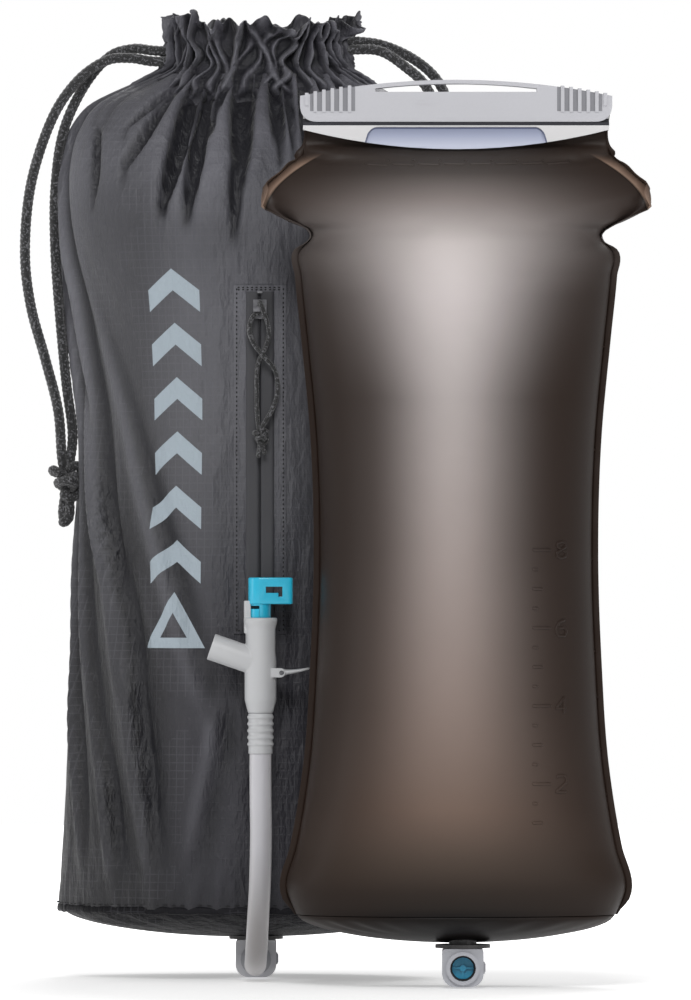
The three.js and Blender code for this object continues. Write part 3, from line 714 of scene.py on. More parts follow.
# ---------------------------------------------------------------- cover
COVER_X = centre("cover_base_binding").x
COVER_Y = centre("cover_base_binding").y
SEAM_Z = 44.0
NECK_Z = 571.0
CORD_Z = 581.0  # height of the cord inside the neck channel
CLOTH_COLS = 350
CLOTH_RADIUS = 107.0  # the mean radius that sets the size of the weave round the cover
ZIP_LOW, ZIP_HIGH = (corner.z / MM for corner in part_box("zip_placket"))
ZIP_X = centre("zip_placket").x
ZIP_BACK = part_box("zip_placket")[1].y / MM
PRINT_U = 457 * MM  # how far round the cover the middle of the print lies
PRINT_LOW, PRINT_HIGH = 262 * MM, 466 * MM  # heights where the column of chevrons starts and ends
PRINT_PITCH = 34 * MM
cover_half_width = curve_through(
    (43, 119), (60, 118.3), (111, 115), (174, 111.7), (237, 108), (300, 105.7), (364, 103.8), (396, 106.3),
    (427, 110), (459, 115.8), (490, 118.3), (513, 117), (535, 110.7), (551, 99), (562, 82), (570, 67),
    (576, 60), (584, 58), (592, 60), (604, 64),
)
cover_half_depth = curve_through(
    (43, 90), (60, 93), (90, 95), (150, 95.5), (380, 95.5), (440, 94.4), (490, 89), (513, 80), (535, 64),
    (551, 49), (562, 36), (570, 26), (576, 21), (584, 19), (592, 21), (604, 26),
)


def wrapped(angle):
    return (angle + np.pi) % (2 * np.pi) - np.pi


def on_cover(x, y, z):
    """Points given in millimetres from the cover's axis, in the frame."""
    return grid_points(x, y, z) * MM + np.array([COVER_X, COVER_Y, 0])


def cloth_uv(angle, z):
    """Distances round the cover and up it, for the weave."""
    u, v = np.broadcast_arrays(angle * CLOTH_RADIUS * MM, z * MM)
    return np.stack([u, v], -1).reshape(-1, 2)


def cover_ring(angle, z, lift=0.0):
    """A point of the cover's plain shape at an angle round it, lifted outwards, in millimetres."""
    wide, deep = cover_half_width(z), cover_half_depth(z)
    x, y = wide * np.cos(angle), deep * np.sin(angle)
    normal = np.stack([np.cos(angle) / wide, np.sin(angle) / deep], -1)
    normal /= np.linalg.norm(normal, axis=-1, keepdims=True)
    return x + lift * normal[..., 0], y + lift * normal[..., 1]


def front_angle(x, z):
    """The angle round the cover at which its front lies x millimetres from its middle."""
    return 2 * np.pi - np.arccos(np.clip(x / cover_half_width(z), -0.995, 0.995))


# Creases the drawcord pulls into the front: each one's start and end (x, z), its half width and depth.
FRONT_PLEATS = [
    ((-30, 566), (-57, 486), 4.6, 13.0), ((-24, 566), (-40, 482), 4.2, 11.0),
    ((-12, 564), (-34, 512), 2.0, 6.0), ((-4, 572), (-6, 504), 5.0, 13.0), ((7, 568), (-8, 500), 1.8, 6.0),
    ((-8, 512), (-9, 470), 2.6, 7.0), ((16, 570), (20, 518), 3.2, 9.0), ((24, 566), (28, 520), 2.2, 6.5),
    ((33, 572), (40, 508), 3.4, 9.0), ((-36, 570), (-84, 508), 3.4, 6.0), ((-80, 514), (-64, 536), 3.0, 3.0),
    ((-45, 566), (-62, 548), 3.0, 5.0), ((-97, 528), (-98, 490), 4.0, 5.0), ((44, 568), (60, 520), 3.0, 8.0),
    ((52, 566), (78, 512), 2.6, 7.0), ((-18, 560), (-26, 528), 2.2, 5.5), ((-52, 562), (-76, 534), 3.0, 4.5),
]

# Slack folds of the sides: angle round the cover, middle height, half length, slant, height and spread.
SIDE_FOLDS = [
    (3.42, 400, 190, 0.42, 5.2, 0.060), (3.30, 330, 170, 0.30, 4.6, 0.045),
    (3.62, 300, 90, 0.34, 4.4, 0.050), (3.20, 360, 120, 0.10, 3.6, 0.050),
    (3.80, 240, 120, 0.24, 3.8, 0.055), (5.95, 320, 130, -0.25, 3.4, 0.055),
    (6.15, 200, 110, -0.15, 3.4, 0.050), (4.05, 140, 70, 0.12, 3.0, 0.060),
    (3.50, 130, 60, 0.10, 3.4, 0.045), (3.36, 205, 90, 0.16, 4.4, 0.040),
    (3.72, 150, 80, 0.20, 4.6, 0.045), (4.25, 230, 90, 0.28, 2.4, 0.060),
    (3.98, 190, 120, 0.16, 4.2, 0.040), (3.86, 90, 60, 0.06, 3.6, 0.035),
    (4.45, 120, 60, -0.10, 2.2, 0.050), (3.95, 330, 90, 0.30, 2.6, 0.055),
]


def crease(angle, z, start, end, half, depth):
    """One tapering crease in the front, as a depth inwards."""
    (x0, z0), (x1, z1) = start, end
    t = np.clip((z - z0) / (z1 - z0), 0, 1)
    line = x0 + (x1 - x0) * (t + 0.12 * np.sin(2.6 * t + x0))
    turn = wrapped(angle - front_angle(line, z)) * cover_half_width(z)
    wide = half * (0.55 + 0.45 * np.sin(np.pi * np.clip(t * 0.8 + 0.2, 0, 1)))
    beyond = np.maximum(np.maximum(z - max(z0, z1), min(z0, z1) - z), 0)
    fade = np.exp(-((beyond / 7.0) ** 2)) * (1 - smooth_step((t - 0.62) / 0.5) * 0.75)
    return depth * np.exp(-np.abs(turn / wide) ** 1.7) * fade


def front_creases(angle, z):
    dip = np.zeros(np.broadcast(angle, z).shape)
    for start, end, half, depth in FRONT_PLEATS:
        dip = np.maximum(dip, crease(angle, z, start, end, half, depth))
    return dip


def neck_pleats(angle, z, rng):
    """How far the gathered cloth dips inwards: sharp valleys that fan down from the neck and die away."""
    valleys = 30
    dip = np.zeros(np.broadcast(angle, z).shape)
    for i in range(valleys):
        home = 2 * np.pi * (i + rng.uniform(-0.28, 0.28)) / valleys
        length = 38 + 105 * rng.uniform(0, 1) ** 1.6
        slant = rng.uniform(-0.12, 0.12)
        below = np.clip((NECK_Z + 14 - z) / length, 0, None)
        spread = 0.052 + 0.05 * rng.uniform(0, 1) * np.clip(below, 0, 1)
        offset = wrapped(angle - home - slant * below)
        valley = np.exp(-np.abs(offset / spread) ** 1.5)
        depth = rng.uniform(5.5, 8.5) * (1 - smooth_step(below)) ** 0.8
        front = 0.35 if math.sin(home) < -0.25 else 1.0
        dip += depth * valley * front
    return dip


def loose_folds(angle, z, rng):
    """The slack of the cover's sides: long low ridges, most of them slanting down round the left side."""
    rise = np.zeros(np.broadcast(angle, z).shape)
    small = [
        (
            rng.uniform(0.2, 2.9), rng.uniform(120, 420), rng.uniform(70, 160), rng.uniform(-0.3, 0.3),
            rng.uniform(1.8, 3.4), rng.uniform(0.045, 0.07),
        )
        for _ in range(9)
    ]
    for home, middle, reach, slant, height, spread in SIDE_FOLDS + small:
        along = (z - middle) / reach
        offset = wrapped(angle - home + slant * along)
        trough = np.exp(-((offset - 1.9 * spread) / (1.3 * spread)) ** 2)
        shape = np.exp(-(offset / spread) ** 2) - 0.9 * trough
        rise += height * shape * np.exp(-np.abs(along) ** 3)
    return rise


def creases_round_seam(angle, z, rng):
    """Short puckers where the side cloth is sewn to the base."""
    puckers = 64
    rise = np.zeros(np.broadcast(angle, z).shape)
    for i in range(puckers):
        home = 2 * np.pi * (i + rng.uniform(-0.4, 0.4)) / puckers
        tall = rng.uniform(10, 34)
        offset = wrapped(angle - home - rng.uniform(-0.05, 0.05) * (z - SEAM_Z) / tall)
        rise += rng.uniform(0.6, 1.7) * np.exp(-(offset / 0.022) ** 2) * np.exp(-((z - 50) / tall) ** 2)
    return rise


def make_cover(material):
    """The cover's cloth up to the neck: laid out in pleats and folds, then settled by the cloth solver."""
    rng = np.random.default_rng(7)
    z = np.concatenate([np.arange(SEAM_Z, 400, 4.4), np.arange(400, NECK_Z + 1, 2.5)])[:, None]
    even = full_turn(CLOTH_COLS)
    angle = (even + 0.42 * np.cos(even))[None, :]  # closer together across the front
    room = smooth_step((z - SEAM_Z) / 40)
    creases = front_creases(angle, z)
    lift = 1.5 - neck_pleats(angle, z, rng) + room * loose_folds(angle, z, rng)
    lift = lift + creases_round_seam(angle, z, rng) - 0.8 * creases
    start = grid_points(*cover_ring(angle, z + 0 * angle, lift), z) * MM
    pins = ((z < SEAM_Z + 1) | (z > NECK_Z - 3)) + 0 * angle
    faces = grid_faces(len(z), CLOTH_COLS, True)
    cloth = make_object("cover_cloth", start, faces, material, uv=cloth_uv(angle, z))
    settled = relax_cloth(cloth, 12, pins.reshape(-1).astype(float), 1.2, 20.0, 0.02, quality=5)
    moved = settled - start
    far = np.linalg.norm(moved, axis=1, keepdims=True)
    settled = start + moved * np.minimum(1, 9 * MM / np.maximum(far, 1e-9))
    cloth.data.vertices.foreach_set("co", settled.astype(np.float32).ravel())
    points = vertex_array(cloth)
    points -= vertex_array(cloth, "normal") * (creases.reshape(-1, 1) * 0.75 * MM)
    points[:, 0] = drawn_in(points[:, 0], points[:, 2] / MM)
    mark_relief(cloth, points.reshape(len(z), CLOTH_COLS, 3))
    points += np.array([COVER_X, COVER_Y, 0])
    move_vertices(cloth, lie_behind_zip(points))
    fix(cloth, "cover", "ripstop", "cover_fabric")


def mark_relief(thing, grid, near=5, far=14, scale=3.4):
    """Stores how far each vertex stands above (+) or below (-) the cloth around it, for the material's
    painted shade in the hollows and painted highlight on the ridges.
    """
    out = np.linalg.norm(grid[..., :2], axis=-1) / MM

    def around(columns):
        level = out
        shifts = range(-columns, columns + 1)
        for _ in range(3):
            level = sum(np.roll(level, shift, axis=1) for shift in shifts) / len(shifts)
        return level

    level = np.clip((0.7 * (out - around(near)) + 0.45 * (out - around(far))) / scale, -1, 1)
    store = thing.data.attributes.new("relief", "FLOAT", "POINT")
    store.data.foreach_set("value", level.astype(np.float32).ravel())


def lie_behind_zip(points):
    """Keeps the cloth round the zip flat and just behind its backing."""
    across = np.abs(points[:, 0] - ZIP_X) / MM
    up = points[:, 2] / MM
    near = 1 - smooth_step((across - 17.5) / 16)
    near *= smooth_step((up - ZIP_LOW + 26) / 20) * (1 - smooth_step((up - ZIP_HIGH - 4) / 20))
    near *= points[:, 1] < COVER_Y
    flat = (ZIP_BACK + 0.6) * MM
    out = points.copy()
    out[:, 1] += near * (np.maximum(points[:, 1], flat) - points[:, 1])
    out[:, 1] = np.where(near > 0.98, flat, out[:, 1])
    return out


def drawn_in(x, z, frill=0.0):
    """The cord has pulled the neck further in on its left; x is measured from the cover's axis."""
    share = 0.15 * smooth_step((z - 550) / 30) + 0.08 * frill
    return np.where(x < 0, x * (1 - share), x)


def make_neck(material):
    """The drawcord channel and its frill: cloth bunched on the cord, running down into the pleats."""
    rng = np.random.default_rng(11)
    count, cols = 50, 640
    heights = np.linspace(548, NECK_Z, 20), np.linspace(572.5, 590, 22), np.linspace(591.2, 603, 14)
    z = np.concatenate(heights)[:, None]
    angle = full_turn(cols)[None, :]
    lobe_place = 2 * np.pi * (np.arange(count) + rng.uniform(-0.4, 0.4, count)) / count
    lobe_size = rng.uniform(0.4, 1.4, count)
    lobes = np.zeros((len(z), cols))
    for place, size in zip(lobe_place, lobe_size):
        lean = rng.uniform(-0.12, 0.12)
        bend = rng.uniform(0.01, 0.05)
        sway = lean * (z - CORD_Z) / 12 + bend * np.sin((z - NECK_Z) * rng.uniform(0.15, 0.36) + place * 9)
        wide = rng.uniform(0.026, 0.052) * (1 + 0.25 * np.sin(z * 0.4 + 5 * place))
        lobes = np.maximum(lobes, size * np.exp(-np.abs(wrapped(angle - place - sway) / wide) ** 2.2))
    channel = np.exp(-((z - CORD_Z) / 7.0) ** 2)
    frill = smooth_step((z - 590) / 11)
    stitched = np.exp(-((z - 573.5) / 1.6) ** 2) + np.exp(-((z - 590) / 1.8) ** 2)
    lift = -3.0 + 2.6 * channel * (0.35 + 0.65 * lobes) + 8.0 * lobes * (1 - 0.3 * stitched)
    lift = lift + 0.5 * np.sin(angle * 140 + z * 0.9 + 3 * np.sin(z * 0.5)) * lobes
    slow = np.sin(3 * angle + 0.6) * 2.2 + np.sin(5 * angle + 2.0) * 1.8
    lift = lift + frill * (slow + 3.6 * np.sin(angle * 17 + 2 * np.sin(4 * angle)) + 3.0)
    dive = smooth_step((NECK_Z - z) / 23) ** 1.5
    lift = lift * (1 - dive) - 24 * dive
    x, y = cover_ring(angle, z + 0 * angle, lift)
    x = drawn_in(x, z, frill)
    crest = 3.0 * np.sin(2 * angle + 0.9) + 2.6 * np.sin(7 * angle) + 3.4 * np.sin(13 * angle + 1)
    crest = crest + 2.0 * np.sin(31 * angle + 2 * np.sin(3 * angle)) + 0.8 * np.sin(53 * angle)
    verts = on_cover(x, y, z + frill * crest * 0.8)
    faces = grid_faces(len(z), cols, True)
    neck = make_object("cover_neck", verts, faces, material, uv=cloth_uv(angle, z))
    from_axis = verts - np.array([COVER_X, COVER_Y, 0])
    mark_relief(neck, from_axis.reshape(len(z), cols, 3), scale=2.2)
    thicken(neck)
    fix(neck, "cover", "ripstop", "cover_neck_hem")


def make_neck_lining(material, cord_material):
    """The inner layer of the drawcord channel, and the cord that runs round inside it."""
    sides = 220
    a = full_turn(sides)[None, :]
    z = np.linspace(574, 589.5, 9)[:, None]
    lift = -6.0 - 2.6 * np.sin((z - 574) / 15.5 * np.pi) - 1.4 * np.sin(a * 38 + np.sin(7 * a))
    x, y = cover_ring(a, z + 0 * a, lift)
    verts = on_cover(drawn_in(x, z), y, z)
    faces = grid_faces(len(z), sides, True)
    lining = make_object("neck_lining", verts, faces, material, uv=cloth_uv(a, z))
    fix(lining, "cover", "ripstop")
    ring_x, ring_y = cover_ring(a[0], CORD_Z + 0 * a[0], -4.4)
    line = on_cover(drawn_in(ring_x, CORD_Z), ring_y, CORD_Z)
    cord = tube_parts(line, 2.2 * MM, 16, closed=True, surface=CORD_BRAID)
    fix(gather("hem_cord", [cord], cord_material), "cover", "cord", "drawcord_hem_loop")


def make_base_binding(material, thread):
    """The folded binding round the base seam, with one row of stitches."""
    sides = 260
    a = full_turn(sides)
    wave = 0.5 * np.sin(a * 37 + np.sin(5 * a)) + 0.35 * np.sin(a * 61)
    ring = np.stack([120.3 * np.cos(a), 91.4 * np.sin(a), 43.4 + wave * 0.5], -1)
    axis = np.array([COVER_X, COVER_Y, 0])

    def flattened(s, angle):
        return 0.4 * MM * np.cos(2 * angle) + 0 * s

    tube = tube_parts(ring * MM + axis, 2.1 * MM, 14, closed=True, surface=flattened)
    fix(gather("base_binding", [tube], material), "cover", "ripstop", "cover_base_binding")
    above = ring + (ring - ring.mean(0)) * [0.014, 0.014, 0] + [0, 0, 3.2]
    holes = above * MM + axis
    sew("base_stitches", list(zip(holes[::2], holes[1::2])), thread)


def sew(name, stitches, material, radius=0.34):
    """Short rounded threads in the cover, one for each (start, end) pair in metres."""
    taper = radius * MM * np.array([0.5, 1, 1.1, 1, 0.5])
    parts = [tube_parts(np.linspace(start, end, 5), taper, 6) for start, end in stitches]
    fix(gather(name, parts, material), "cover", "cord")


# ---------------------------------------------------------------- tubes and cords
def lengths_along(line):
    """How far along a line each of its points lies."""
    gaps = np.linalg.norm(np.diff(line, axis=0), axis=1)
    return np.concatenate([[0], np.cumsum(gaps)])


def spline(points, step, closed=False):
    """A Catmull-Rom curve through points, in even steps of about `step`."""
    p = np.array(points, float)
    if closed:
        p = np.vstack([p[-1], p, p[0], p[1]])
    else:
        p = np.vstack([2 * p[0] - p[1], p, 2 * p[-1] - p[-2]])
    out = []
    for a, b, c, d in zip(p, p[1:], p[2:], p[3:]):
        n = max(2, int(np.linalg.norm(c - b) / step))
        t = np.linspace(0, 1, n, endpoint=False)[:, None]
        square, cube = 2 * a - 5 * b + 4 * c - d, 3 * b - a - 3 * c + d
        out.append(0.5 * (2 * b + (c - a) * t + square * t**2 + cube * t**3))
    line = np.vstack(out + [out[0][:1] if closed else p[-2:-1]])
    s = lengths_along(line)
    even = np.linspace(0, s[-1], max(4, int(s[-1] / step)) + 1)
    even = even[:-1] if closed else even
    return np.stack([np.interp(even, s, line[:, k]) for k in range(3)], -1)


def frames_along(line, closed=False):
    """Tangents and two turning-free normals along a line of points."""
    if closed:
        tangent = np.roll(line, -1, 0) - np.roll(line, 1, 0)
    else:
        tangent = np.gradient(line, axis=0)
    tangent /= np.linalg.norm(tangent, axis=1, keepdims=True)
    first = np.cross(tangent[0], [0.31, 0.9, 0.2])
    normals = [first / np.linalg.norm(first)]
    for a in tangent[1:]:
        n = normals[-1] - a * (normals[-1] @ a)
        normals.append(n / np.linalg.norm(n))
    normal = np.array(normals)
    if closed:
        twist = math.atan2(np.cross(tangent[0], normal[-1]) @ normal[0], normal[-1] @ normal[0])
        angle = twist * np.linspace(0, 1, len(line))[:, None]
        side = np.cross(tangent, normal)
        normal = normal * np.cos(angle) + side * np.sin(angle)
    return tangent, normal, np.cross(tangent, normal)


def tube_parts(line, radius, sides, closed=False, surface=None):
    """Vertices, faces and uv of a round tube. surface(s, angle) gives a height added to the radius."""
    _, normal, side = frames_along(line, closed)
    s = lengths_along(line)[:, None]
    a = full_turn(sides)[None, :]
    r = np.broadcast_to(np.asarray(radius, float).reshape(-1, 1), (len(line), 1)) + np.zeros((1, sides))
    if surface is not None:
        r = r + surface(s, a)
    outwards = np.cos(a)[..., None] * normal[:, None] + np.sin(a)[..., None] * side[:, None]
    verts = line[:, None] + r[..., None] * outwards
    ends = joining_faces(len(line), sides) if closed else end_faces(len(line), sides)
    uv = np.stack([s + 0 * r, a * np.mean(radius) + 0 * r], -1)
    return verts.reshape(-1, 3), grid_faces(len(line), sides, True) + ends, uv.reshape(-1, 2)


def rounded_ends(line, radius, reach):
    """The radius along a line whose two ends are rounded over."""
    s = lengths_along(line)
    end = np.minimum(s, s[-1] - s) / reach
    return radius * np.sqrt(1 - (1 - np.clip(end, 0.04, 1)) ** 2)


def gather(name, parts, material):
    """One object from several (vertices, faces, uv) parts."""
    verts, faces, uvs, start = [], [], [], 0
    for v, f, t in parts:
        verts.append(v)
        uvs.append(t)
        faces += [tuple(i + start for i in face) for face in f]
        start += len(v)
    return make_object(name, np.vstack(verts), faces, material, uv=np.vstack(uvs))


def braid(pitch, lobes, height):
    def surface(s, angle):
        return height * (np.cos(2 * math.pi * s / pitch) - np.cos(lobes * angle)) / 2

    return surface


CORD_RADIUS = 3.1 * MM
CORD_BRAID = braid(3.4 * MM, 8, 0.30 * MM)


def cord_strand(points, radius=CORD_RADIUS, step=0.75 * MM, surface=CORD_BRAID, sides=24):
    line = spline(points, step)
    return tube_parts(line, rounded_ends(line, radius, radius), sides, surface=surface)


def knot_loop(middle, size, tilt, radius, surface, sides=20):
    """One turn of a tightened overhand knot: a trefoil pulled into a lump."""
    t = np.linspace(0, 2 * np.pi, 15, endpoint=False)
    x = (np.sin(t) + 1.55 * np.sin(2 * t)) / 2.5
    y = (np.cos(t) - 1.55 * np.cos(2 * t)) / 2.5
    z = -np.sin(3 * t) * 0.62
    turn = np.array(Matrix.Rotation(tilt, 3, "Z") @ Matrix.Rotation(1.1, 3, "X"))
    points = (np.stack([x, y, z], -1) * np.array(size)) @ turn.T + np.array(middle)
    line = spline(points, 0.8 * MM, closed=True)
    return tube_parts(line, radius, sides, closed=True, surface=surface)


def knot(middle, turns, size, radius, surface, sides=20):
    """A knot of several tightened turns, each given as (tilt, shift from the middle in millimetres)."""
    return [knot_loop(middle + np.array(shift) * MM, np.array(size) * MM, tilt, radius, surface, sides)
            for tilt, shift in turns]


# Each drawcord's two strands, knot and tails. A point is how far out it lies from where the cord leaves the
# neck, how far forward of the cord's middle and how far below its top, in millimetres.
DRAWCORDS = {
    "left": {
        "strands": [
            [(-19, 0, 11), (-6, 0, 11), (8, 2, 9), (23, 5, 11), (41, 5, 24), (57, 4, 48), (70, 2, 88),
             (74, 0, 130), (70.5, -1, 165), (61, -1, 200), (53, 0, 232), (50.5, 0, 262)],
            [(-19, -3, 5), (-6, -4, 4), (6, -6, 3), (21, -8, 8), (37, -7, 27), (50, -6, 56), (55, -6, 92),
             (55, -6, 130), (52, -5, 172), (48, -4, 214), (44, -3, 246), (46, -1, 266)],
        ],
        "knot": (47, -1, 276),
        "tails": [[(46, 0, 298), (52, 3, 304)], [(50, -3, 296), (48, -6, 303)]],
    },
    "right": {
        "strands": [
            [(-6, -6, 8), (14, 0, 9), (30, 6, 19), (44, 12, 33), (52, 19, 57), (54, 23, 95), (53, 25, 141),
             (50, 25, 191), (48, 24, 231), (46, 22, 264)],
            [(-6, -14, 2), (16, -12, 5), (37, -5, 15), (52, 3, 30), (60, 11, 54), (63, 15, 95),
             (61, 17, 141), (56, 18, 191), (51, 19, 231), (48, 20, 264)],
        ],
        "knot": (47, 21, 277),
        "tails": [[(46, 22, 298), (44, 24, 304)], [(50, 18, 296), (51, 17, 303)]],
    },
}


def make_drawcord(side, material):
    """One drawcord: a doubled braided cord from the neck channel, knotted, with two short tails."""
    body = f"drawcord_{side}"
    low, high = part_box(body)
    outwards, inner_x = (-1.0, high.x) if side == "left" else (1.0, low.x)
    start = np.array([inner_x, (low.y + high.y) / 2, high.z]) / MM

    def at(*points):
        return (start + np.array(points) * [outwards, -1, -1]) * MM

    plan = DRAWCORDS[side]
    parts = [cord_strand(at(*strand, plan["knot"])) for strand in plan["strands"]]
    parts += [cord_strand(at(plan["knot"], *tail)) for tail in plan["tails"]]
    turns = (0.2, (0, 0, 3)), (1.35, (1.5, -1.0, -3.5))
    parts += knot(at(plan["knot"])[0], turns, (10.4, 7.0, 8.6), CORD_RADIUS * 0.98, CORD_BRAID)
    cord = gather(f"braided_{body}", parts, material)
    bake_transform(cord)
    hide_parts(body)


# ---------------------------------------------------------------- hose and spigot
def ring_stack(profile, segments=64, origin=(0, 0, 0)):
    """A lathed body from a closed (radius, height) profile, as vertices, faces and uv."""
    a = full_turn(segments)
    profile = np.array(profile, float)
    r, z = profile[:, :1], profile[:, 1:]
    verts = grid_points(r * np.cos(a), r * np.sin(a), z) * MM + np.array(origin)
    faces = grid_faces(len(profile), segments, True) + joining_faces(len(profile), segments)
    uv = np.stack([r * a, z + 0 * a], -1).reshape(-1, 2) * MM
    return verts, faces, uv


def rounded(profile, radius, steps=4):
    """A closed profile with each corner rounded."""
    p = np.array(profile, float)
    out = []
    for before, corner, after in zip(np.roll(p, 1, 0), p, np.roll(p, -1, 0)):
        one, two = before - corner, after - corner
        reach = min(radius, 0.45 * np.linalg.norm(one), 0.45 * np.linalg.norm(two))
        start = corner + one / np.linalg.norm(one) * reach
        end = corner + two / np.linalg.norm(two) * reach
        for t in np.linspace(0, 1, steps):
            out.append((1 - t) ** 2 * start + 2 * t * (1 - t) * corner + t**2 * end)
    return np.array(out)


def recalc(thing):
    """Turns the faces outwards."""
    bm = bmesh.new()
    bm.from_mesh(thing.data)
    bmesh.ops.recalc_face_normals(bm, faces=bm.faces)
    bm.to_mesh(thing.data)
    bm.free()
    return thing


def apply_modifiers(thing):
    graph = bpy.context.evaluated_depsgraph_get()
    mesh = bpy.data.meshes.new_from_object(thing.evaluated_get(graph), depsgraph=graph)
    old = thing.data
    thing.modifiers.clear()
    thing.data = mesh
    bpy.data.meshes.remove(old)
    return thing


def from_bmesh(name, bm):
    mesh = bpy.data.meshes.new(name)
    bm.to_mesh(mesh)
    bm.free()
    return into_scene(name, mesh)


def cylinder(name, radius, start, end, segments=48):
    """A plain round bar between two points."""
    start, end = Vector(start), Vector(end)
    bm = bmesh.new()
    bmesh.ops.create_cone(bm, cap_ends=True, segments=segments, radius1=radius, radius2=radius,
                          depth=(end - start).length)
    turn = (end - start).to_track_quat("Z", "Y").to_matrix().to_4x4()
    bmesh.ops.transform(bm, matrix=Matrix.Translation((start + end) / 2) @ turn, verts=bm.verts)
    return from_bmesh(name, bm)


def slab(name, low, high):
    """A plain block between two corners."""
    low, high = Vector(low), Vector(high)
    bm = bmesh.new()
    bmesh.ops.create_cube(bm, size=1.0)
    size = Matrix.Diagonal((*(high - low), 1.0))
    bmesh.ops.transform(bm, matrix=Matrix.Translation((low + high) / 2) @ size, verts=bm.verts)
    return from_bmesh(name, bm)


def prism(name, near, far, material, smooth=True):
    """A block between two outlines that have the same number of points."""
    n = len(near)
    faces = [tuple(range(n - 1, -1, -1)), tuple(range(n, 2 * n))]
    faces += [(i, (i + 1) % n, n + (i + 1) % n, n + i) for i in range(n)]
    return recalc(make_object(name, near + far, faces, material, smooth))


def dress(thing, material, sharp):
    """One material and smooth shading with crisp edges, after booleans; sharp is in degrees."""
    thing.data.materials.clear()
    thing.data.materials.append(material)
    smooth_faces(thing)
    thing.data.set_sharp_from_angle(angle=math.radians(sharp))


def carve(thing, others, operation):
    for other in others:
        step = thing.modifiers.new("join", "BOOLEAN")
        step.operation = operation
        step.solver = "EXACT"
        step.object = other
        apply_modifiers(thing)
        bpy.data.objects.remove(other)
    return thing


SPIGOT = centre("spigot_cuff")  # the spigot's upright axis passes through the cuff's middle


def from_spigot(x, y, z):
    """A point given in millimetres from the spigot's axis, and above the floor."""
    return (SPIGOT.x + x * MM, SPIGOT.y + y * MM, z * MM)


def make_spigot_body(material):
    """The Y-shaped body: one moulding whose branches run into each other with soft fillets."""
    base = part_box("spigot_body")[0].z / MM
    pin_x, pin_z = 12.6, base + 25.3
    rise = math.radians(19)

    def at(x, y, up):
        return from_spigot(x, y, base + up)

    def down_spout(reach):
        return at(-reach * math.cos(rise), 0, 31 + reach * math.sin(rise))

    shell = rounded([(0.01, base), (7.7, base), (9.9, base + 8.5), (9.9, base + 32), (9.3, base + 39),
                     (9.35, base + 53), (10.5, base + 57), (10.5, base + 59.6), (0.01, base + 59.6)], 1.0)
    body = recalc(gather("spigot_moulding", [ring_stack(shell, 64, (SPIGOT.x, SPIGOT.y, 0))], None))
    tab_ring = cylinder("tab", 10.4 * MM, at(0, 0, 50), at(0, 0, 70.2))
    carve(tab_ring, [slab("cut_a", at(-1, -13, 40), at(13, 13, 80)),
                     slab("cut_b", at(-13, -13, 40), at(13, -3.4, 80))], "DIFFERENCE")
    arms = []
    for y0, y1 in ((5.7, 7.6), (-7.6, -5.7)):
        arms.append(slab("lug_web", at(3, y0, 22.4), at(pin_x, y1, 28.2)))
        ends = from_spigot(pin_x, y0, pin_z), from_spigot(pin_x, y1, pin_z)
        arms.append(cylinder("lug_eye", 2.9 * MM, *ends, 32))
    carve(body, [cylinder("spout", 8.4 * MM, down_spout(2), down_spout(32.6)), tab_ring] + arms, "UNION")
    remesh = body.modifiers.new("melt", "REMESH")
    remesh.mode = "VOXEL"
    remesh.voxel_size = 0.42 * MM
    soften = body.modifiers.new("soften", "SMOOTH")
    soften.iterations = 4
    apply_modifiers(body)
    pin_ends = from_spigot(13.2, -12, pin_z), from_spigot(13.2, 12, pin_z)
    carve(body, [cylinder("bore", 7.0 * MM, at(0, 0, 17), at(0, 0, 80)),
                 cylinder("feed", 4.8 * MM, at(0, 0, -5), at(0, 0, 20)),
                 cylinder("outlet", 6.8 * MM, down_spout(0), down_spout(40)),
                 cylinder("pin_hole", 1.5 * MM, *pin_ends, 24)], "DIFFERENCE")
    dress(body, material, 40)
    fix(body, "hose", "spigot", "spigot_body")


def make_cuff(material):
    """The soft cuff that joins the hose to the spigot, with its ribs."""
    low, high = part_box("spigot_cuff")
    bottom, top = low.z / MM, high.z / MM + 0.35
    profile = [(7.05, bottom), (7.6, bottom)]
    for i in range(5):
        z = bottom + 4.6 + 4.2 * i
        profile += [(7.5, z), (8.25, z + 0.7), (8.25, z + 1.9), (7.5, z + 2.6)]
    profile += [(7.6, top), (4.8, top), (4.8, top - 17), (7.05, top - 17)]
    tube = ring_stack(rounded(profile, 0.5, 3), 64, (SPIGOT.x, SPIGOT.y, 0))
    fix(recalc(gather("ribbed_cuff", [tube], material)), "hose", "spigot", "spigot_cuff")


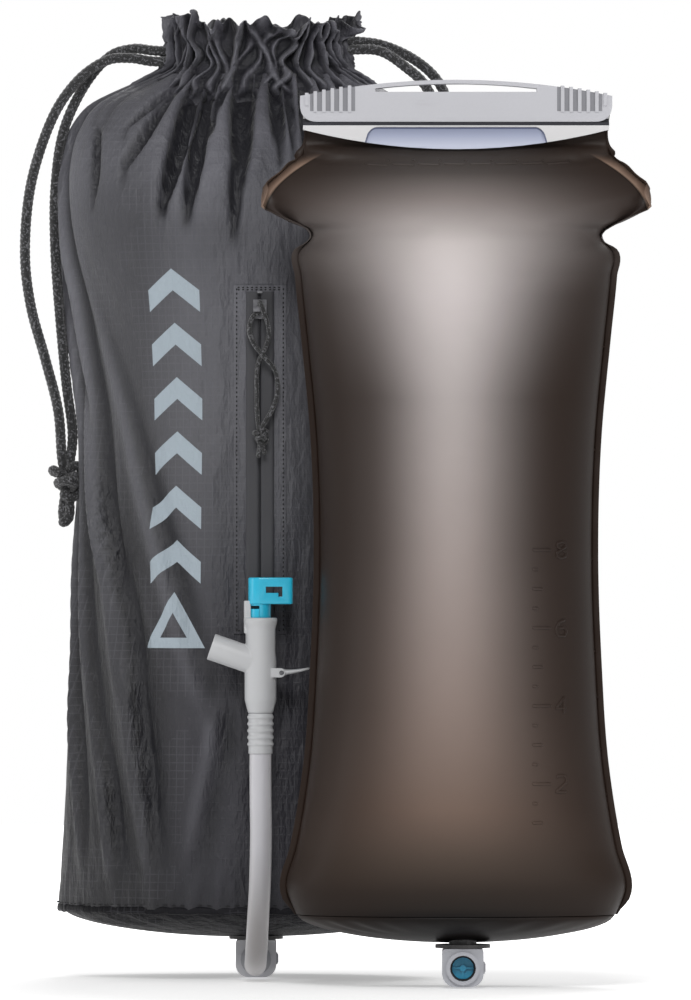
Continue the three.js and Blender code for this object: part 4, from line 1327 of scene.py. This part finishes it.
def make_lever(material):
    """The thumb lever: a slim horn that tapers and curls up from its hub."""
    hub = centre("spigot_lever_pin")
    reach = np.array([0.0, 1.2, 3.0, 6.0, 9.0, 12.0, 14.6, 16.4, 17.4])[:, None]
    rise = 0.2 + 0.006 * reach**2 + 0.04 * reach
    wide = np.array([4.9, 5.1, 5.1, 4.9, 4.6, 4.2, 3.7, 2.9, 1.4])[:, None]
    thick = np.array([2.2, 2.1, 1.7, 1.35, 1.15, 1.0, 0.9, 0.75, 0.4])[:, None]
    sides, squareness = 28, 0.62
    around = full_turn(sides)
    side = np.sign(np.cos(around)) * np.abs(np.cos(around)) ** squareness
    up = np.sign(np.sin(around)) * np.abs(np.sin(around)) ** squareness
    middle = np.array([hub.x, SPIGOT.y, hub.z])
    verts = grid_points(reach, wide * side, rise + thick * up) * MM + middle
    faces = grid_faces(len(reach), sides, True) + end_faces(len(reach), sides)
    lever = recalc(make_object("thumb_lever", verts, faces, material))

    def bar(name, radius, half_length, segments):
        along = np.array([0, half_length * MM, 0])
        return cylinder(name, radius * MM, middle - along, middle + along, segments)

    carve(lever, [bar("eye", 2.4, 5.2, 40)], "UNION")
    carve(lever, [bar("bore", 1.4, 9, 24)], "DIFFERENCE")
    dress(lever, material, 35)
    fix(lever, "spigot_lever", "spigot", "spigot_lever")


def make_lock(material):
    """The lock: a slotted head over a stem that carries the seal and a hook slot."""
    low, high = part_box("spigot_lock")
    bottom, top = low.z / MM, high.z / MM
    head, seal_low, seal_high = 16.6, 211, 213.2

    def at(x, y, drop):
        return from_spigot(x, y, top - drop)

    arc = [(7.6 * math.cos(a), 7.6 * math.sin(a)) for a in np.linspace(math.pi / 2, 1.5 * math.pi, 25)]
    outline = arc + [(18, -6.5), (19.6, -6.0), (20.2, -4.5), (20.2, 4.5), (19.6, 6.0), (18, 6.5)]
    lock = prism("lock_head", [at(x, y, head) for x, y in outline], [at(x, y, 0) for x, y in outline], None)
    round_edges(lock, 0.9, 4, 40)
    apply_modifiers(lock)
    carve(lock, [cylinder("stem", 6.5 * MM, from_spigot(0, 0, bottom), at(0, 0, 15), 56)], "UNION")
    groove = [(5.2, seal_low), (7.5, seal_low), (7.5, seal_high), (5.2, seal_high)]
    groove_verts, groove_faces, _ = ring_stack(groove, 48, (SPIGOT.x, SPIGOT.y, 0))
    carve(lock, [slab("slot", at(3.4, -12, 9.6), at(13.7, 12, 5.7)),
                 slab("slot_foot", at(11.2, -12, 12.0), at(13.7, 12, 8.0)),
                 slab("hook", at(-9, -12, 19.6), at(-0.8, 12, 17.6)),
                 recalc(make_object("groove", groove_verts, groove_faces))], "DIFFERENCE")
    round_edges(lock, 0.25, 2, 50)
    apply_modifiers(lock)
    dress(lock, material, 38)
    fix(lock, "spigot_lock", "lock", "spigot_lock")


def make_hose(material):
    """The dispensing hose: out of the plug under the cover, round a bend and straight up into the cuff."""
    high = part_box("hose")[1]
    plug = centre("hose_plug")
    outer, inner, sides = 6.85 * MM, 4.7 * MM, 48

    def from_plug(x, back, z):
        return (plug.x + x * MM, high.y - back * MM, z * MM)

    line = spline([
        (plug.x, high.y, plug.z), (plug.x, high.y - 8 * MM, plug.z), from_plug(0, 22, 10),
        from_plug(0, 40, 9.9), from_plug(0.6, 59, 17), (plug.x + 1.6 * MM, SPIGOT.y + 4.5 * MM, 35 * MM),
        from_spigot(-0.4, 0.2, 60), from_spigot(0.3, 0, 90), from_spigot(0, 0, 120),
        (SPIGOT.x, SPIGOT.y, high.z),
    ], 1.5 * MM)
    wall, _, wall_uv = tube_parts(line, outer, sides)
    bore, _, bore_uv = tube_parts(line, inner, sides)
    n = len(wall)
    open_faces = grid_faces(len(line), sides, True)
    faces = open_faces + [tuple(i + n for i in reversed(face)) for face in open_faces]
    for c in range(sides):
        a, b = c, (c + 1) % sides
        faces.append((b, a, a + n, b + n))
        faces.append(tuple(i + n - sides for i in (a, b, b + n, a + n)))
    uv = np.vstack([wall_uv, bore_uv])
    hose = recalc(make_object("dispensing_hose", np.vstack([wall, bore]), faces, material, uv=uv))
    fix(hose, "hose", "hose", "hose")


# ---------------------------------------------------------------- carried-over mouldings
def finish_moulding(node, material, bevel=0.35):
    """Softens a CAD moulding's edges as a mould would, and gives it its plastic; bevel is in millimetres."""
    thing = nodes[node]
    thing.data.materials.clear()
    thing.data.materials.append(material)
    flat = thing.modifiers.new("merge_facets", "DECIMATE")
    flat.decimate_type = "DISSOLVE"
    flat.angle_limit = math.radians(1.0)
    if bevel:
        edge = round_edges(thing, bevel, 3, 32)
        edge.harden_normals = True
        edge.use_clamp_overlap = True
    smooth_faces(thing)
    smooth = thing.modifiers.new("keep_flats", "WEIGHTED_NORMAL")
    smooth.keep_sharp = True


def make_spring(node, material):
    """A valve spring: a copy of the CAD spring's mesh, on its body in place of the CAD node."""
    faces = [tuple(face.vertices) for face in nodes[node].data.polygons]
    spring = make_object(f"{node}_coil", vertex_array(nodes[node]), faces, material)
    fix(spring, "cover" if node.startswith("covered") else "bladder", "metal", node)
    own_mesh(spring)


# ---------------------------------------------------------------- pocket zip
def from_zip(x, y, z):
    """A point in the frame, given in millimetres with x from the zip's centre line."""
    return np.array([ZIP_X, 0, 0]) + np.array([x, y, z]) * MM


def zip_strip(name, x0, x1, depth, z0, z1, material, slot, stands_for=(), ripple=0.12):
    """A narrow length of cloth or tape on the zip's back plane, with softened edges and a slight ripple."""
    edge, y_back, y_front = 0.25, ZIP_BACK, ZIP_BACK - depth
    quarters = [x0 + (x1 - x0) * part for part in (0.25, 0.5, 0.75)]
    across = np.array([x0, x0, x0 + edge, *quarters, x1 - edge, x1, x1])
    front = np.array([y_back, y_front + edge, *[y_front] * 5, y_front + edge, y_back])
    z = np.linspace(z0, z1, int((z1 - z0) / 2.2))[:, None]
    wave = ripple * (np.sin(z * 0.31 + across) + 0.7 * np.sin(z * 0.83 + 2 * across + 1.0))
    verts = grid_points(across, front + wave * (front < y_back), z) * MM + np.array([ZIP_X, 0, 0])
    rows, cols = len(z), len(across)
    faces = grid_faces(rows, cols)
    faces += [(r * cols, (r + 1) * cols, (r + 2) * cols - 1, (r + 1) * cols - 1) for r in range(rows - 1)]
    faces += [tuple(range(cols)), tuple(range(rows * cols - 1, (rows - 1) * cols - 1, -1))]
    u, v = np.broadcast_arrays(across * MM, z * MM)
    strip = recalc(make_object(name, verts, faces, material, uv=np.stack([u, v], -1).reshape(-1, 2)))
    strip.data.set_sharp_from_angle(angle=math.radians(50))
    fix(strip, "cover", slot, *stands_for)


def make_zip(cloth, tape, thread):
    """The zip's backing, its two woven tapes with their coils, and its stitches."""
    frame_half, slit_half, opening_half = 16.4, 0.55, 8.6
    pitch, length, seam_x = 2.8, 1.3, 14.6
    backing = {
        "left": (-frame_half, -opening_half, ZIP_LOW, ZIP_HIGH),
        "right": (opening_half, frame_half, ZIP_LOW, ZIP_HIGH),
        "top": (-opening_half - 0.1, opening_half + 0.1, ZIP_HIGH - 5, ZIP_HIGH),
        "bottom": (-opening_half - 0.1, opening_half + 0.1, ZIP_LOW, ZIP_LOW + 5),
    }
    for place, (x0, x1, z0, z1) in backing.items():
        stands_for = ("zip_placket",) if place == "left" else ()
        zip_strip(f"zip_backing_{place}", x0, x1, 0.5, z0, z1, cloth, "ripstop", stands_for)
    tapes = {"left": (-opening_half - 0.1, -slit_half), "right": (slit_half, opening_half + 0.1)}
    for side, (x0, x1) in tapes.items():
        zip_strip(f"zip_web_{side}", x0, x1, 1.45, ZIP_LOW + 4, ZIP_HIGH - 4, tape, "zip",
                  (f"zip_tape_{side}",), 0.05)
        make_coil(side, tape)
    y = ZIP_BACK - 0.6
    stitches = []
    for x in (-seam_x, seam_x):
        for z in np.arange(ZIP_LOW + 2, ZIP_HIGH - 1, pitch):
            stitches.append((from_zip(x, y, z), from_zip(x, y, z + length)))
    for z in (ZIP_HIGH - 1.4, ZIP_HIGH - 2.8, ZIP_LOW + 2.0):
        for x in np.arange(-14.0, 13.5, pitch):
            stitches.append((from_zip(x, y, z), from_zip(x + length, y, z)))
    sew("zip_stitches", stitches, thread, radius=0.42)


def make_coil(side, material):
    """One half of the zip's coil: a row of bent teeth that meet down the slit."""
    sign, shift = (-1, 0.0) if side == "left" else (1, 0.6)
    bend = (1.5, 0.4), (0.4, 0.9), (-0.25, 1.15), (0.4, 1.5)
    teeth = []
    for z in np.arange(ZIP_LOW + 8, ZIP_HIGH - 8, 1.2):
        line = np.array([from_zip(sign * x, ZIP_BACK - forward, z + shift) for x, forward in bend])
        teeth.append(tube_parts(line, 0.26 * MM, 6))
    fix(gather(f"zip_teeth_{side}", teeth, material), "cover", "zip", f"zip_coil_{side}")


def make_pull_cord(material):
    """The zip pull: a cord looped through the slider's bail, crossed once, bowed and knotted."""
    radius = 1.45 * MM
    weave = braid(1.9 * MM, 6, 0.16 * MM)
    top = centre("zip_slider").z / MM

    def at(x, forward, drop):
        return from_zip(x, ZIP_BACK - 2.0 - forward, top - drop)

    loop = [(0, 4.75, -0.2), (0, 6.6, -4.2), (0.5, 9.6, -3.6), (2.4, 10.6, 2), (5.0, 9.6, 10),
            (5.4, 8.6, 18), (2.2, 8.6, 27), (-1.4, 6.6, 35), (-2.0, 6.0, 50), (-1.6, 6.0, 66),
            (0.0, 6.6, 77), (2.4, 8.0, 72), (8.0, 7.0, 62), (11.2, 6.6, 50), (9.2, 7.0, 38),
            (3.0, 8.8, 30), (-3.6, 7.4, 22), (-6.6, 6.6, 13), (-4.6, 6.4, 5), (-0.8, 5.6, 2.4)]
    line = spline([at(*p) for p in loop], 0.6 * MM, closed=True)
    parts = [tube_parts(line, radius, 14, closed=True, surface=weave)]
    middle = at(0.6, 6.6, 80)
    turns = (0.3, (0, 0, 1.5)), (1.5, (0.6, -0.6, -1.6))
    parts += knot(middle, turns, (4.6, 2.6, 4.2), radius, weave, 12)
    for tail in (at(-1.0, 6.4, 93), at(3.4, 6.8, 91)):
        bow = (middle + tail) / 2 + [0, -0.4 * MM, 0]
        parts.append(cord_strand([middle, bow, tail], radius, 0.5 * MM, weave, 14))
    fix(gather("zip_pull_loop", parts, material), "zip_pull_cord", "cord", "zip_pull_cord")


# ---------------------------------------------------------------- details on the film
def surface_finder(thing):
    """A function that drops (x, z) points onto the front of a piece."""
    graph = bpy.context.evaluated_depsgraph_get()
    tree = BVHTree.FromObject(thing, graph)

    def find(x, z):
        hit = tree.ray_cast(Vector((x, -1.0, z)), Vector((0, 1, 0)))[0]
        return hit.y if hit else None

    return find


def raised_line(find, points, radius, step=0.8):
    """A rounded ridge that follows the film along points given in millimetres from the bladder's axis."""
    dense = []
    for (x0, z0), (x1, z1) in zip(points, points[1:]):
        n = max(2, int(math.hypot(x1 - x0, z1 - z0) / step))
        dense += [(x0 + (x1 - x0) * i / n, z0 + (z1 - z0) * i / n) for i in range(n)]
    dense.append(points[-1])
    line = []
    for x, z in dense:
        y = find(BLADDER_X + x * MM, z * MM)
        if y is None:
            return None
        line.append((BLADDER_X + x * MM, y + 0.25 * radius * MM, z * MM))
    line = np.array(line)
    return tube_parts(line, rounded_ends(line, radius * MM, radius * MM), 8)


# The strokes of each digit, as points across and up it.
DIGIT_STROKES = {
    "2": [[(0, 0.8), (0.2, 1), (0.8, 1), (1, 0.8), (1, 0.6), (0, 0), (1, 0)]],
    "4": [[(0.75, 0), (0.75, 1), (0, 0.35), (1, 0.35)]],
    "6": [[(0.9, 1), (0.3, 0.85), (0, 0.45), (0, 0.2), (0.2, 0), (0.8, 0), (1, 0.25), (0.8, 0.5),
           (0.1, 0.48)]],
    "8": [[(0.5, 0.52), (0.1, 0.68), (0.12, 0.9), (0.5, 1), (0.88, 0.9), (0.9, 0.68), (0.5, 0.52),
           (0.05, 0.32), (0.1, 0.08), (0.5, 0), (0.9, 0.08), (0.95, 0.32), (0.5, 0.52)]],
}


def make_scale(film_thing, material):
    """Moulded-in marks on the film: a volume scale low on the right, and the weld line under the mouth."""
    scale_x, digit_x, weld_z, weld_pitch = 46, 61, 508.5, 16
    find = surface_finder(film_thing)
    ridges = []
    for digit, z in {"8": 270.0, "6": 222.0, "4": 174.0, "2": 126.0}.items():
        ridges.append([(scale_x, z), (scale_x + 12, z)])
        for stroke in DIGIT_STROKES[digit]:
            ridges.append([(digit_x + 6.5 * across, z - 5 + 10 * up) for across, up in stroke])
        for below, length in ((12, 4), (24, 7), (36, 4)):
            if z - below > 100:
                ridges.append([(scale_x, z - below), (scale_x + length, z - below)])
    for x in np.arange(-56, 57, weld_pitch):
        ridges.append([(x, weld_z), (x + 14, weld_z + 0.02 * x)])
        ridges.append([(x + 13, weld_z + 3.0), (x + 14.5, weld_z + 1.5)])
    parts = [raised_line(find, ridge, 1.05) for ridge in ridges]
    fix(gather("film_scale", [p for p in parts if p is not None], material), "bladder", "film")


def make_seam_tabs(film_points, material):
    """The small crimps along the right side weld."""
    parts = []
    for z in (392, 330, 268, 210, 180, 148, 122):
        near = film_points[np.abs(film_points[:, 2] - z * MM) < 4 * MM]
        edge = near[np.argmax(near[:, 0])]
        line = edge + np.array([[-7.0, -6.0, 0], [-4.0, -5.2, 0.6], [-1.0, -2.6, 0.2], [1.2, 0.2, 0]]) * MM
        parts.append(tube_parts(line, rounded_ends(line, 1.0 * MM, 1.0 * MM), 8))
    fix(gather("seam_crimps", parts, material), "bladder", "film")


def make_slide_arrow(material):
    """A small raised arrow on the closure that shows which way it slides."""
    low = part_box("slide_closure")[0]
    middle = np.array([BLADDER_X - 19 * MM, low.y + 1.0 * MM, low.z + 12 * MM])
    outline = [(-5, -1.0), (2, -1.0), (2, -3.2), (7.5, 0), (2, 3.2), (2, 1.0), (-5, 1.0)]
    near, far = ([middle + np.array([x, y, z]) * MM for x, z in outline] for y in (0.3, -0.35))
    fix(prism("slide_arrow", near, far, material, smooth=False), "slide_closure", "closure")


# ---------------------------------------------------------------- stage
def make_stage():
    """A white floor that takes a soft shadow near the bags and melts into the white backdrop further out."""
    g = Graph("pale_floor")
    _, x, y, _ = g.place()
    away = g.math("SQRT", g.plus(g.times(x, x), g.times(y, y)))
    seen = g.add("ShaderNodeLightPath").outputs["Is Camera Ray"]
    glow = g.times(seen, g.ramp(g.over(away, 2.0), (0.12, 0.1), (0.45, 0.9)))
    floor_material = g.set(Base_Color=(0.92, 0.92, 0.92, 1), Roughness=0.9, Emission_Color=(1, 1, 1, 1),
                           Emission_Strength=g.plus(glow, 0.25))
    radius, sides = 4.0, 96
    ring = [(radius * math.cos(a), radius * math.sin(a), -1.0 * MM) for a in full_turn(sides)]
    make_object("floor", ring, [tuple(range(sides))], floor_material)


def make_light(name, place, target, size, watts):
    data = bpy.data.lights.new(name, "AREA")
    data.shape = "RECTANGLE"
    data.size, data.size_y = size
    data.energy = watts
    light = into_scene(name, data)
    light.location = place
    light.rotation_euler = (Vector(target) - Vector(place)).to_track_quat("-Z", "Y").to_euler()


def make_camera():
    data = bpy.data.cameras.new("camera")
    data.sensor_width = SENSOR_MM
    data.lens = SENSOR_MM * CAMERA_DISTANCE / VIEW_HEIGHT
    data.clip_end = 50
    camera = into_scene("camera", data)
    camera.location = (VIEW_CENTRE_X, BLADDER_Y - CAMERA_DISTANCE, VIEW_CENTRE_Z)
    camera.rotation_euler = (math.pi / 2, 0, 0)
    bpy.context.scene.camera = camera


def make_world():
    world = bpy.data.worlds.new("studio")
    world.use_nodes = True
    tree = world.node_tree
    backdrop = tree.nodes["Background"]
    path = tree.nodes.new("ShaderNodeLightPath")
    mix = tree.nodes.new("ShaderNodeMix")
    mix.inputs[2].default_value = 0.34  # ambient light on the object
    mix.inputs[3].default_value = 1.0  # what the camera sees behind it
    tree.links.new(path.outputs["Is Camera Ray"], mix.inputs[0])
    tree.links.new(mix.outputs[0], backdrop.inputs[1])
    backdrop.inputs[0].default_value = (1, 1, 1, 1)
    bpy.context.scene.world = world
    bpy.context.scene.view_settings.view_transform = "Standard"


make_stage()
make_world()
make_light("key", (-0.2, -2.3, 1.9), (-0.05, 0, 0.3), (0.9, 0.9), 36)
make_light("fill", (1.8, -1.8, 0.8), (-0.05, 0, 0.3), (1.0, 1.6), 11)
make_light("left_edge", (-2.2, -0.2, 0.8), (-0.1, 0.1, 0.3), (0.5, 1.6), 6)
make_light("rim", (0.4, 1.8, 2.0), (-0.05, 0, 0.3), (1.4, 0.8), 24)
make_camera()


# ---------------------------------------------------------------- build
film_material = smoky_film("smoky_film")
# tone paints copies of the cloth lighter or darker: the printed cover cloth a little lighter than the neck
# cloth, as painted light, and the base and its binding far darker, as painted shade.
cloth_material = ripstop("ripstop_cloth")
printed_material = ripstop("printed_ripstop", printed=True, tone=1.08)
base_material = ripstop("base_cloth", tone=0.3)
film, film_rows = make_film(film_material)
make_side_welds(vertex_array(film), film_rows, film_material)
make_cover(printed_material)
make_neck(cloth_material)
make_base(film_material, "bladder_base", "bladder", "film", "base_film_gusset", (BLADDER_X, BLADDER_Y, 0),
          half_width=98.5, half_depth=60.0, rim_z=43.4, drop=17.0, hole=(4, -20, 9.5), wrinkle=0.5)
make_base(base_material, "cover_bottom", "cover", "ripstop", "cover_base", (COVER_X, COVER_Y, 0),
          half_width=118.5, half_depth=89.5, rim_z=42.6, drop=18.0, hole=(4, -20, 19.5), wrinkle=1.1)
thread_material = moulded("sewing_thread", srgb(20, 20, 22), 0.7)
make_base_binding(base_material, thread_material)
cord_material = braided_cord("braided_cord", srgb(11, 11, 12), srgb(112, 112, 116))
make_neck_lining(cloth_material, cord_material)
make_drawcord("left", cord_material)
make_drawcord("right", cord_material)
tape_material = moulded("zip_tape", srgb(58, 58, 62), 0.55)
metal_material = dark_metal("dark_metal")
make_zip(cloth_material, tape_material, thread_material)
make_pull_cord(cord_material)
make_scale(film, film_material)
make_seam_tabs(vertex_array(film), film_material)
spigot_material = moulded("spigot_plastic", srgb(196, 197, 199), 0.42)
make_hose(hose_rubber("hose_rubber"))
make_cuff(spigot_material)
make_lever(spigot_material)
make_spigot_body(spigot_material)

closure_material = closure_plastic("closure_plastic")
rail_material = rail_plastic("rail_plastic")
port_material = moulded("port_plastic", srgb(172, 173, 179), 0.38)
# A copy of the port plastic painted lighter, as painted light on the covered port, which sits in the cover's
# shadow.
port_painted_lighter = moulded("port_plastic_painted_lighter", srgb(214, 214, 218), 0.38)
collar_material = moulded("port_collar", srgb(58, 56, 57), 0.45)
valve_material = moulded("valve_plastic", srgb(52, 158, 196), 0.3)
lock_material = moulded("lock_plastic", srgb(44, 188, 222), 0.3, coat=0.2)
seal_material = moulded("seal_rubber", srgb(30, 30, 32), 0.6)
make_slide_arrow(closure_material)
finish_moulding("slide_closure", closure_material, 0.5)
for part in ("zip_slider", "zip_top_stop", "zip_bottom_stop"):
    finish_moulding(part, metal_material, 0.3)
finish_moulding("covered_bladder_film", plain_film("covered_film"), 0)
finish_moulding("covered_slide_closure", closure_material, 0.4)
for part in ("mouth_rail_front", "mouth_rail_back"):
    finish_moulding("covered_" + part, rail_material, 0.3)
    finish_moulding(part, rail_material, 0.5)
for prefix in ("", "covered_"):
    # The covered port's housing takes the copy painted lighter, as painted light.
    finish_moulding(prefix + "port_housing", port_painted_lighter if prefix else port_material, 0.4)
    finish_moulding(prefix + "port_flange", collar_material, 0.4)
    finish_moulding(prefix + "release_button", port_material, 0.3)
    finish_moulding(prefix + "valve_poppet", valve_material, 0.2)
    finish_moulding(prefix + "port_o_ring", seal_material, 0)
finish_moulding("hose_plug", port_material, 0.4)
finish_moulding("spigot_lever_pin", metal_material, 0.2)
make_spring("valve_spring", metal_material)
make_spring("covered_valve_spring", metal_material)
make_lock(lock_material)
finish_moulding("spigot_lock_o_ring", seal_material, 0)
